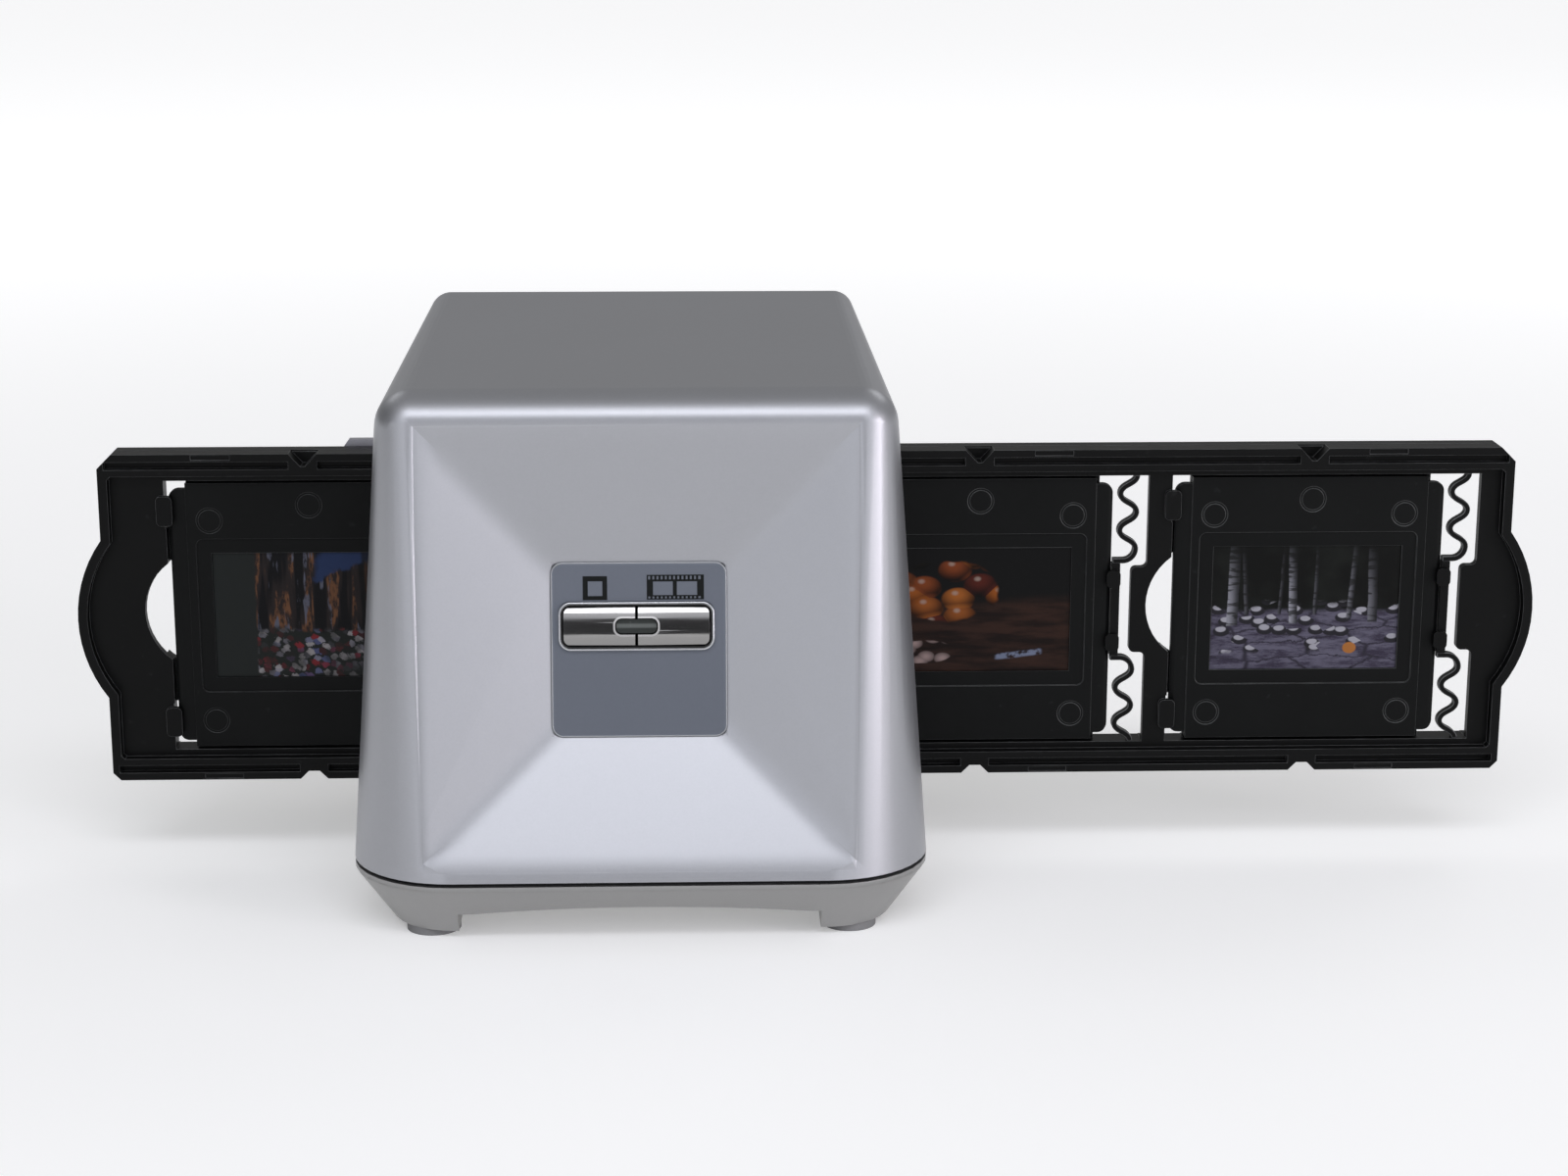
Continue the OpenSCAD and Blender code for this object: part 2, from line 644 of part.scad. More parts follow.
// --- tray, drawn about its own middle ---
module at_tray() translate([0, tray_y, tray_z]) children();

module at_slide(i) at_tray() translate([(i - (slides + 1) / 2) * pitch, 0, 0]) children();

// The tray's outline, or what is left of it inside a rim and two rails
module tray_outline(rim, rail) {
    chamfered(2 * (tray_half - rim), tray_h - 2 * rail, rim > 0 ? 0.6 : tray_corner,
        rim > 0 ? 0.6 : tray_corner_low);
    intersection() {
        union() for (side = [-1, 1])
            translate([side * (tray_half + grip_out - grip_r), 0]) circle(grip_r - rim);
        union() for (side = [-1, 1])
            translate([side * (tray_half + 20 - 30), 0]) square([60, 2 * slide_size], center = true);
        square([4 * tray_half, tray_h - 2 * rail], center = true);
    }
}

// Through holes of one compartment: picture window, thumb gap, relief behind the clips, spring wells
module compartment_holes() {
    pocket = slide_size + 2 * pocket_gap;
    well_end = push_x + well_w;
    slot_end = push_x + slot_w;
    well_low = bar_half - 0.6;
    square([window_w + 7.8, window_h + 6.8], center = true);
    intersection() {
        translate([-slide_size / 2 + 6.3, 0.9]) circle(11.3);
        translate([-slide_size / 2 - 10, -20]) square([10.6, 40]);
    }
    for (z = [-1, 1]) {
        translate([-slide_size / 2 - 0.7, z > 0 ? 16.5 : -pocket / 2]) square([3.7, pocket / 2 - 16.5]);
        mirror([0, z > 0 ? 0 : 1]) difference() {
            union() {
                translate([push_x - 2.4, well_low]) square([well_w + 2.4, pocket / 2 - well_low]);
                translate([slot_end - 0.1, well_low - step_r]) square([step_r + 0.1, step_r + 0.1]);
            }
            translate([slot_end + step_r, well_low - step_r]) circle(step_r);
            difference() {
                translate([well_end - step_r, well_low - 0.1]) square([step_r + 0.1, step_r + 0.1]);
                translate([well_end - step_r, well_low + step_r]) circle(step_r);
            }
        }
    }
    translate([push_x - 1.2, -bar_half - 0.8]) square([slot_w + 1.2, 2 * bar_half + 1.6]);
}

module tray_frame() color("#1c1d1e") {
    pocket = slide_size + 2 * pocket_gap;
    difference() {
        at_tray() {
            slab(-web_front, web_t - web_front) tray_outline(0, 0);
            slab(-tray_t / 2, tray_t / 2) difference() {
                tray_outline(0, 0);
                tray_outline(rim_t, lip_h);
            }
            slab(web_t - web_front - 0.1, tray_t / 2) for (side = [-1, 1])
                translate([0, side * (tray_h - lip_h - rail_h) / 2]) square([2 * tray_half - rim_t,
                    rail_h - lip_h + 0.2], center = true);
            for (i = [1:slides]) translate([(i - (slides + 1) / 2) * pitch, 0, 0])
                slab(-web_front, pocket_floor + floor_web) square(pocket + 2 * tub_wall, center = true);
        }
        for (i = [1:slides]) at_slide(i) {
            slab(-tray_t, tray_t) compartment_holes();
            slab(-tray_t, pocket_floor) square([pocket, pocket], center = true);
            v_notch();
            translate([0, 0, -tray_h / 2]) slab(-tray_t, tray_t)
                polygon([[-2.5, -1], [2.5, -1], [2.5, 0], [1, 1.5], [-1, 1.5], [-2.5, 0]]);
        }
        at_tray() rail_grooves();
    }
    for (i = [1:slides]) at_slide(i) slide_clips();
}

module v_notch() translate([0, 0, tray_h / 2]) slab(-tray_t, 0.3)
    polygon([[-3.5, 1], [3.5, 1], [0.4, -2.3], [-0.4, -2.3]]);

// A channel along the front of each rail, broken at the notches, with shallow snap windows in the lip
// outside it, and the fine line between the tray's two mouldings on the top
module rail_grooves() {
    tab = tray_half / 128.3;
    first = -(slides - 1) / 2 * pitch;
    stops = [for (i = [0:slides - 1]) first + i * pitch];
    edges = [-tray_half + 1.2, for (x = stops) each [x - 2.6, x + 2.6], tray_half - 1.2];
    for (side = [1, -1]) translate([0, -tray_t / 2 - 1, side * tray_h / 2]) {
        for (k = [0:2:len(edges) - 1])
            translate([edges[k], 0, -side * (rail_lip + groove_h / 2) - groove_h / 2])
                cube([edges[k + 1] - edges[k], groove_d + 1, groove_h]);
        for (x = [-108, -47, 44, 105])
            translate([x * tab - 3.5, 0, -side * 0.65 - 0.45]) cube([7, 1.35, 0.9]);
    }
    translate([-tray_half + tray_corner, 0.3, tray_h / 2 - 0.3])
        cube([2 * (tray_half - tray_corner), 0.3, 1]);
}

module slide_clips() for (z = [19.8, -19.8]) translate([-slide_size / 2 - pocket_gap - 0.1, 0, z])
    slab(-web_front - 1, -web_front + 0.2) round_rect(2.9, 5.5, 0.9);

module block_from(w, front, back, h) translate([0, front, 0]) cube([w, back - front, h]);

// A mount: a raised middle, lower bands down its two sides, ejector marks, a sunk border and the window
module slide_mount(i) at_slide(i) translate([0, slide_y, 0]) difference() {
    union() {
        slab(-slide_t / 2, slide_t / 2) square([slide_size - 2 * band_w, slide_size], center = true);
        slab(-slide_t / 2 + band_step, slide_t / 2)
            round_rect(slide_size, slide_size - 2 * band_short, 1.8);
    }
    for (side = [-1, 1]) translate([side * slide_size / 2, -slide_t / 2, -slide_size])
        linear_extrude(2 * slide_size) polygon([[side, -0.1], [-side * 0.8, -0.1],
            [-side * 0.8, band_step], [0, band_step + 0.4], [side, band_step + 0.4]]);
    for (mark = [[-17.5, 18], [0.5, 20.8], [17.5, 18], [-17.8, -20], [17.8, -20]])
        translate([mark[0], 0, mark[1] * slide_size / 50])
            slab(-slide_t, -slide_t / 2 + 0.15) difference() {
                circle(2.4);
                circle(2);
            }
    slab(-slide_t, slide_t) square([window_w, window_h], center = true);
    slab(-slide_t, -slide_t / 2 + 0.35) round_rect(window_w + 5.4, window_h + 5.4, 1.3);
    slab(-film_t / 2 - 0.03, film_t / 2 + 0.03) square([window_w + 2, window_h + 2], center = true);
}

module slide_film(i) at_slide(i) translate([0, slide_y, 0])
    slab(-film_t / 2, film_t / 2) square([window_w + 1.6, window_h + 1.6], center = true);

module push_bar(i) at_slide(i) {
    slab(-web_front - 0.1, pocket_floor - 0.1) translate([push_x, -bar_half]) square([bar_t, 2 * bar_half]);
    for (z = [6, -6]) translate([push_x + bar_t / 2 - 0.5, 0, z]) slab(-web_front - 1, -web_front)
        round_rect(bar_t + 1, 3.2, 0.8);
}

// A flat spring: a wave with round lobes down to the bar's end, then a turn that brings it across the bar
module meander() {
    strip = 1;
    turn = 2.3;
    turn_z = bar_half + strip / 2 + turn;
    top = slide_size / 2 + pocket_gap;
    swing = 1.5;
    peak_x = push_x + 2.75 + swing;
    wave = 720 / (top - turn_z);
    bulge = 0.13;
    steps = 48;
    span = wave * (top - turn_z);
    edge = function(k, s) let (
        a = span * (1 - k / steps),
        z = turn_z + a / wave + bulge * sin(2 * a),
        dx = -swing * sin(a) * PI / 180,
        dz = 1 / wave + bulge * 2 * cos(2 * a) * PI / 180,
        n = norm([dx, dz]))
        [peak_x - swing + swing * cos(a) + s * strip / 2 * dz / n, z - s * strip / 2 * dx / n];
    bend = function(a, s) let (r = turn + s * strip / 2)
        [peak_x - turn + r * cos(a), turn_z - r * sin(a)];
    polygon([
        for (k = [0:steps]) edge(k, 1), for (a = [10:10:90]) bend(a, 1),
        [push_x + 0.1, turn_z - turn - strip / 2], [push_x + 0.1, turn_z - turn + strip / 2],
        for (a = [90:-10:10]) bend(a, -1), for (k = [steps:-1:0]) edge(k, -1)]);
}

module bar_springs(i) at_slide(i) for (side = [1, -1]) mirror([0, 0, side > 0 ? 0 : 1])
    slab(-web_front + 0.2, -web_front + 1.8) meander();

module slide_mount_1() color("#151616") slide_mount(1);
module slide_mount_2() color("#151616") slide_mount(2);
module slide_mount_3() color("#151616") slide_mount(3);
module slide_mount_4() color("#151616") slide_mount(4);
module slide_film_1() color("saddlebrown") slide_film(1);
module slide_film_2() color("steelblue") slide_film(2);
module slide_film_3() color("maroon") slide_film(3);
module slide_film_4() color("slateblue") slide_film(4);
module push_bar_1() color("#222324") push_bar(1);
module push_bar_2() color("#222324") push_bar(2);
module push_bar_3() color("#222324") push_bar(3);
module push_bar_4() color("#222324") push_bar(4);
module bar_springs_1() color("#2a2b2c") bar_springs(1);
module bar_springs_2() color("#2a2b2c") bar_springs(2);
module bar_springs_3() color("#2a2b2c") bar_springs(3);
module bar_springs_4() color("#2a2b2c") bar_springs(4);

upper_shell();
base_shell();
seam_seal();
foot_pads();
base_screws();
badge_plate();
button_ring();
slide_button();
film_button();
status_lamp();
button_board();
button_switches();
entry_guide();
tray_chassis();
detent_spring();
chassis_screws();
light_box();
lamp_board();
lamp_leds();
diffuser_plate();
lens_holder();
lens_barrel();
lens_glass();
sensor_board();
image_sensor();
main_board();
board_parts();
usb_socket();
usb_core();
board_screws();
sensor_cable();
front_cables();
tray_frame();
slide_mount_1();
slide_mount_2();
slide_mount_3();
slide_mount_4();
slide_film_1();
slide_film_2();
slide_film_3();
slide_film_4();
push_bar_1();
push_bar_2();
push_bar_3();
push_bar_4();
bar_springs_1();
bar_springs_2();
bar_springs_3();
bar_springs_4();
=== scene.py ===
"""Looks of a desktop scanner for slides and film: a silver housing with a sunk four-sided front,
and a black tray of four slides that runs through it."""
import math
import bmesh
import bpy
import numpy as np
from mathutils import Matrix, Vector


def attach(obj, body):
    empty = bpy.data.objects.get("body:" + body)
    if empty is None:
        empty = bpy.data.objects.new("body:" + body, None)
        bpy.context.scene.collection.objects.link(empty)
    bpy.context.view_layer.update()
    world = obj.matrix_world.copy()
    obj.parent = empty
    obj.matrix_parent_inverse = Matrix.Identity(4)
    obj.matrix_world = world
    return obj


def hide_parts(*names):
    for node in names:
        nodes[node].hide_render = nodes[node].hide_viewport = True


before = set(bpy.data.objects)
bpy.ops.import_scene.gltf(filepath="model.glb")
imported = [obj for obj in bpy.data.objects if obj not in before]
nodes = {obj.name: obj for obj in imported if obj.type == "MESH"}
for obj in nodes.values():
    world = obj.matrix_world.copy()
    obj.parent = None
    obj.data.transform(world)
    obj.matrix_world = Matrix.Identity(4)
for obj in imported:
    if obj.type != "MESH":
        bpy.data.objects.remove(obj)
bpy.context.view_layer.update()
MM = 0.001

# ---------------------------------------------------------------- sizes in millimetres
# places repeated from the part's source; on the leaning front they run across, up it and into it
BODY_X = -30.9                  # middle of the housing
BODY_FRONT = -50.0              # front of the housing at the seam
SEAM_Z = 12.2                   # height of the seam between the shells
LEAN = math.radians(9)          # how far the front leans back
PANEL_LOW, PANEL_HIGH = 1.8, 77.4               # bottom and top of the sunk front
PANEL_HALF, PANEL_FLARE = 37.3, 1.2 / 75.0      # half its width at the top, and its growth per mm down
PANEL_DEPTH = 8.0               # depth of the flat under the badge
BADGE_Z, BADGE_HALF = 38.9, 15.0
BADGE_FACE = 7.7                # depth of the badge's face
BUTTON_X, BUTTON_Z = -0.4, 43.0
CAP_FRONT, CAP_RADIUS = 6.5, 7.0                # depth of the buttons' crown, and its roundness
TRAY_Z, PITCH = 46.6, 61.0      # middle of the films, and the step from one to the next
# sizes of the finish only
RIDGE_SOFT, RIM_SOFT = 1.6, 1.3 # rounding of the sunk front's ridges and of its rim, as depths
ROLL_RUN, ROLL_DEEP = 72.4, 1.125               # depth of the housing's roll this far down the side rim
ROLL_POWER, ROLL_TILT = 1.75, 0.95              # how it grows on the way there, and its slope inward
BORDER = 29.95                  # side of the path that the badge's silver border follows
INK = 0.03                      # thickness of the printed signs
WELL_ROUND = (12.95, 3.80, 1.75)                # well of the ring: half width, half height, corner
LAMP_ROUND = (3.65, 1.40, 1.10)                 # brushed lip round the lamp, in the same order


# ---------------------------------------------------------------- shader maths
class Val:
    """A number that varies over a surface. Python operators on it add Math nodes: low and high give
    the lesser and the greater of two, soft_low the lesser with the joint rounded over a width."""

    def __init__(self, tree, sock):
        self.tree, self.sock = tree, sock

    def math(self, op, *others):
        return self.tree.add("ShaderNodeMath", {"operation": op}, dict(enumerate((self,) + others)))

    def __add__(self, o): return self.math("ADD", o)
    __radd__ = __add__
    def __sub__(self, o): return self.math("SUBTRACT", o)
    def __rsub__(self, o): return self.math("MULTIPLY", -1.0) + o
    def __mul__(self, o): return self.math("MULTIPLY", o)
    __rmul__ = __mul__
    def __neg__(self): return self.math("MULTIPLY", -1.0)
    def __abs__(self): return self.math("ABSOLUTE")
    def __gt__(self, o): return self.math("GREATER_THAN", o)
    def __lt__(self, o): return self.math("LESS_THAN", o)
    def power(self, o): return self.math("POWER", o)
    def sin(self): return self.math("SINE")
    def wrap(self, period): return self.math("WRAP", period, 0.0)
    def low(self, o): return self.math("MINIMUM", o)
    def high(self, o): return self.math("MAXIMUM", o)
    def soft_low(self, o, width): return self.math("SMOOTH_MIN", o, width)

    def step(self, a, b):
        """Rises smoothly from 0 at a to 1 at b."""
        return self.tree.add("ShaderNodeMapRange", {"interpolation_type": "SMOOTHSTEP"},
                             {"Value": self, "From Min": a, "From Max": b}, "Result")


class Graph:
    """A node tree, its main shader and the place it is worked out for."""

    def __init__(self, tree, shader, place):
        self.nodes, self.links = tree.nodes, tree.links
        self.shader = self.nodes[shader]
        self.place = self.add("ShaderNodeTexCoord", out=place)
        parts = self.add("ShaderNodeSeparateXYZ", {}, {0: self.place}, whole=True)
        self.x, self.y, self.z = (Val(self, parts.outputs[i]) for i in range(3))

    def feed(self, sock, value):
        """Links a varying value to a socket, or gives the socket a fixed one."""
        if isinstance(value, Val):
            self.links.new(value.sock, sock)
        elif sock.type == "RGBA":
            sock.default_value = tuple(value) + (1.0,)
        else:
            sock.default_value = value

    def add(self, kind, settings=None, inputs=None, out=0, whole=False):
        """A node of any kind: its settings come first, then what goes into its sockets. Gives its output
        `out`, or the node itself."""
        node = self.nodes.new(kind)
        for key, value in (settings or {}).items():
            if key == "stops":
                ramp = node.color_ramp
                while len(ramp.elements) < len(value):
                    ramp.elements.new(0.5)
                for element, (at, colour) in zip(ramp.elements, value):
                    element.position, element.color = at, tuple(colour) + (1.0,)
            else:
                setattr(node, key, value)
        for key, value in (inputs or {}).items():
            self.feed(node.inputs[key], value)
        return node if whole else Val(self, node.outputs[out])

    def set(self, key, value):
        """Gives one of the main shader's sockets a value or a link."""
        self.feed(self.shader.inputs[key], value)
        return self

    def noise(self, size, detail=2.0, rough=0.5, stretch=(1, 1, 1), shift=(0, 0, 0)):
        """Noise whose blobs are about `size` metres across, from 0 to 1."""
        spot = self.add("ShaderNodeMapping", {},
                        {"Vector": self.place, "Scale": stretch, "Location": shift})
        return self.add("ShaderNodeTexNoise", {}, {"Vector": spot, "Scale": 0.6 / size, "Detail": detail,
                                                    "Roughness": rough}, "Fac")

    def cells(self, size, feature="F1"):
        """Irregular cells about `size` metres across: how far a point is from its cell's heart or wall."""
        return self.add("ShaderNodeTexVoronoi", {"feature": feature},
                        {"Vector": self.place, "Scale": 1 / size}, "Distance")

    def mix(self, factor, a, b):
        """Colour a where factor is 0, colour b where it is 1."""
        return self.add("ShaderNodeMix", {"data_type": "RGBA"}, {0: factor, 6: a, 7: b}, 2)

    def ramp(self, factor, stops):
        """Colours along a scale from 0 to 1, blended between the stops."""
        return self.add("ShaderNodeValToRGB", {"stops": stops}, {"Fac": factor}, "Color")

    def tint(self, colour, amount):
        """The colour times a varying number."""
        return self.add("ShaderNodeVectorMath", {"operation": "SCALE"}, {0: colour, "Scale": amount},
                        "Vector")

    def spots(self, x, z, size, out="Distance", feature="F1", shift=(0.0, 0.0), stretch=(1.0, 1.0)):
        """Flat cells `size` millimetres across at the place (x, z), given in millimetres."""
        spot = self.add("ShaderNodeCombineXYZ", {}, {0: (x + shift[0]) * (stretch[0] / size),
                                                     1: (z + shift[1]) * (stretch[1] / size)})
        return self.add("ShaderNodeTexVoronoi", {"feature": feature, "voronoi_dimensions": "2D"},
                        {"Vector": spot, "Scale": 1.0}, out)


class Paint(Graph):
    """A material worked out for Object coordinates, with some of its shader's sockets at fixed values."""

    def __init__(self, name, **fixed):
        self.mat = bpy.data.materials.new(name)
        self.mat.use_nodes = True
        super().__init__(self.mat.node_tree, "Principled BSDF", "Object")
        for key, value in fixed.items():
            self.set(key.replace("_", " "), value)

    def bump(self, height):
        """Relief from a height in metres."""
        return self.set("Normal", self.add("ShaderNodeBump", {}, {"Height": height, "Distance": 1.0,
                                                                   "Strength": 1.0}, "Normal"))


def panel_place(p):
    """The place in the leaning front's own directions: across, up the face and into it, in millimetres."""
    back, rise = p.y * 1000 - BODY_FRONT, p.z * 1000 - SEAM_Z
    s, c = math.sin(LEAN), math.cos(LEAN)
    return p.x * 1000 - BODY_X, back * s + rise * c, back * c - rise * s


# ---------------------------------------------------------------- materials
def silver(name, colour, soften):
    """Silver paint: fine flake sparkle, a little cloudiness and orange peel. `soften` rounds the sunk
    front in the shading, where each of its four slopes deepens evenly from the rim to the badge.
    Ridges: a point's own depth less that of the four slopes joined smoothly, faded out at the rim.
    Rim: a dip, deepest at the edge, that falls with the cube of the way left to where the slope and the
    housing's roll are RIM_SOFT apart. The roll at the side rim deepens with a power of the way down."""
    p = Paint(name, Metallic=0.88, IOR=1.5)
    flake = p.noise(0.00022, 1.0)
    cloud = p.noise(0.012, 3.0)
    grain = p.noise(0.0009, 2.0)
    tone = 0.94 + 0.07 * flake + 0.03 * cloud + 0.03 * grain
    p.set("Base Color", p.tint(colour, tone))
    p.set("Roughness", 0.36 + 0.05 * flake + 0.03 * cloud)
    height = 0.0000012 * flake + 0.000004 * p.noise(0.0016, 2.0)
    if soften:
        x, up, deep = panel_place(p)
        side = (PANEL_HALF + (PANEL_HIGH - up) * PANEL_FLARE - abs(x)) \
            * (PANEL_DEPTH / (PANEL_HALF - BADGE_HALF))
        low = (up - PANEL_LOW) * (PANEL_DEPTH / (BADGE_Z - BADGE_HALF - PANEL_LOW))
        high = (PANEL_HIGH - up) * (PANEL_DEPTH / (PANEL_HIGH - BADGE_Z - BADGE_HALF))
        slope = side.low(low).low(high)
        joined = side.soft_low(low, RIDGE_SOFT).soft_low(high, RIDGE_SOFT)
        down = ((PANEL_HIGH - up) * (1 / ROLL_RUN)).high(0.0)
        roll = ROLL_DEEP * down.power(ROLL_POWER) - ROLL_TILT * side * (1.2 * down).low(1.0)
        inward = (1 - (side - roll).low(low).low(high).high(0.0) * (1 / RIM_SOFT)).high(0.0)
        outward = (1 - (deep - slope).high(0.0) * (1 / RIM_SOFT)).high(0.0)
        on_front = (deep < PANEL_DEPTH - 0.03) * (deep > -3.0)
        height = height + ((deep - joined) * slope.step(0.3, 2.0)
                           - (RIM_SOFT / 6) * (inward * outward).power(3.0)) * on_front * MM
    p.bump(height)
    return p.mat


def badge_paint():
    """Grey-blue satin paint, a touch lighter towards the top, with a painted highlight along the plate's
    rounded border.
    """
    p = Paint("badge_satin", Metallic=0.35, IOR=1.45)
    x, up, deep = panel_place(p)
    # painted highlight: lighter within 0.7 mm of the plate's rounded border
    edge = abs(x).high(abs(up - BADGE_Z)).step(BADGE_HALF - 0.7, BADGE_HALF)
    speck = p.noise(0.0003, 2.0)
    fade = (up - BADGE_Z).step(-BADGE_HALF, BADGE_HALF)
    tone = 0.93 + 0.09 * speck + 0.05 * p.noise(0.006, 2.0) + 0.06 * fade + 0.25 * edge
    p.set("Base Color", p.tint((0.121, 0.134, 0.162), tone))
    p.set("Roughness", 0.44 + 0.08 * speck)
    p.bump(0.000002 * speck)
    return p.mat


def print_ink():
    """Screen-printed black, a little uneven."""
    p = Paint("print_ink", Specular_IOR_Level=0.12)
    speck = p.noise(0.0002, 2.0)
    p.set("Base Color", p.tint((0.006, 0.007, 0.007), 0.7 + 0.6 * speck))
    p.set("Roughness", 0.5 + 0.15 * speck)
    return p.mat


def rounded(x, z, w, h, r):
    """How far (x, z) is outside a rectangle that is w and h from its middle to its sides, with corners
    of radius r."""
    a, b = (abs(x) - (w - r)).high(0.0), (abs(z) - (h - r)).high(0.0)
    return (a * a + b * b).power(0.5) - r


def chrome(name, tone, rough, shaded_walls, crowned=False):
    """Plated plastic: bright, with the faintest waviness and hairline marks along X. Where `shaded_walls` is
    1 the
    plating gives way to matt black: painted shade on the walls of the gaps between the ring and the buttons.
    A crowned face has a brushed lip round the lamp, and its crown is eased in the shading: about the middle
    its slope falls off evenly from above to below."""
    p = Paint(name)
    x, up, deep = panel_place(p)
    across, above = x - BUTTON_X, up - BUTTON_Z
    hair = p.noise(0.0002, 2.0, stretch=(0.08, 1, 1))
    # painted shade: matt black on the walls of the gaps
    painted_gap_shade = shaded_walls(across, above, deep)
    plated = p.tint(tone, 0.92 + 0.08 * p.noise(0.003, 2.0))
    roughness = rough + 0.05 * hair + 0.5 * painted_gap_shade
    height = 0.0000012 * p.noise(0.003, 1.0)
    if crowned:
        lip = rounded(across, above, *LAMP_ROUND).step(0.36, 0.28)
        plated = p.mix(lip, plated, (0.46, 0.455, 0.45))
        roughness = roughness + 0.35 * lip
        mid = above.high(-1.6).low(2.2)
        height = height + (0.0236 * mid * mid - 0.103 * mid - 0.18 * (above + 1.6).low(0.0)) * MM
    p.set("Base Color", p.mix(painted_gap_shade, plated, (0.004, 0.004, 0.004)))
    p.set("Metallic", 1 - painted_gap_shade)
    p.set("Roughness", roughness)
    p.bump(height)
    return p.mat


def moulded(name, colour, rough, spec=0.35, grain=0.00035, relief=0.000005, wear=0.25, spread=0.12):
    """Moulded plastic: spark-eroded grain, soft mottling and a little dust."""
    p = Paint(name, Specular_IOR_Level=spec)
    fine = p.noise(grain, 2.0)
    mottle = p.noise(0.007, 3.0)
    dust = p.noise(0.0011, 3.0).step(0.66, 0.80)
    tone = 1 - spread / 2 + spread * mottle + 0.06 * fine + wear * dust
    p.set("Base Color", p.tint(colour, tone))
    p.set("Roughness", rough + 0.08 * fine - 0.05 * mottle)
    p.bump(relief * fine)
    return p.mat


def highlight_edge_paint(name, colour):
    """The tray's broken edges: paler than its faces as a painted highlight, and shinier, both in patches."""
    p = Paint(name, Specular_IOR_Level=0.5)
    highlight_patches = p.noise(0.004, 4.0, 0.7).step(0.25, 0.75)
    p.set("Base Color", p.tint(colour, 0.35 + 1.1 * highlight_patches))
    p.set("Roughness", 0.42 - 0.14 * highlight_patches)
    return p.mat


def rubber(name, colour):
    """Matt rubber with a fine speckle."""
    p = Paint(name, Specular_IOR_Level=0.3)
    fine = p.noise(0.0003, 3.0)
    p.set("Base Color", p.tint(colour, 0.85 + 0.2 * fine + 0.15 * p.noise(0.002, 2.0)))
    p.set("Roughness", 0.78 + 0.12 * fine)
    p.bump(0.00001 * fine)
    return p.mat


def bare_metal(name, colour, rough, stretch):
    """Uncoated metal with fine marks, drawn out along the axis whose `stretch` is small."""
    p = Paint(name, Metallic=1.0)
    hair = p.noise(0.0003, 3.0, stretch=stretch)
    p.set("Base Color", p.tint(colour, 0.85 + 0.2 * hair))
    p.set("Roughness", rough + 0.15 * hair)
    p.bump(0.000002 * hair)
    return p.mat


def circuit_board():
    """Green solder mask over copper tracks, with pads along a fine pitch."""
    p = Paint("solder_mask", IOR=1.5)
    tracks = abs(p.cells(0.0042, "DISTANCE_TO_EDGE")).step(0.10, 0.04)
    lanes = abs((p.x * 1000).wrap(1.27) - 0.63).step(0.16, 0.1) * p.noise(0.006, 1.0).step(0.5, 0.55)
    copper = tracks.high(lanes)
    pads = (p.cells(0.0031, "F1") < 0.14) * p.noise(0.005, 1.0).step(0.45, 0.5)
    green = p.mix(copper, (0.012, 0.090, 0.035), (0.022, 0.155, 0.060))
    p.set("Base Color", p.mix(pads, green, (0.55, 0.50, 0.38)))
    p.set("Roughness", 0.36 - 0.1 * copper + 0.1 * p.noise(0.001, 2.0))
    p.bump(0.00002 * copper)
    return p.mat


def polyimide():
    """Flat cable: amber film over parallel copper strips."""
    p = Paint("polyimide", IOR=1.5)
    strips = abs((p.x * 1000).wrap(1.0) - 0.5).step(0.28, 0.2)
    p.set("Base Color", p.mix(strips, (0.36, 0.13, 0.012), (0.58, 0.27, 0.06)))
    p.set("Roughness", 0.3 + 0.1 * p.noise(0.002, 2.0))
    p.bump(0.00003 * strips)
    return p.mat


def film_place(p, number):
    """Across and up a film, in millimetres from its middle."""
    return p.x * 1000 - (number - 2.5) * PITCH, p.z * 1000 - TRAY_Z


def film_paint(colour):
    """The picture's colour, halved by the film base, under a satin gelatine face."""
    p = colour.tree
    p.set("Base Color", p.tint(colour, 0.50)).set("Roughness", 0.30 + 0.1 * p.noise(0.01, 1.0))
    return p.mat


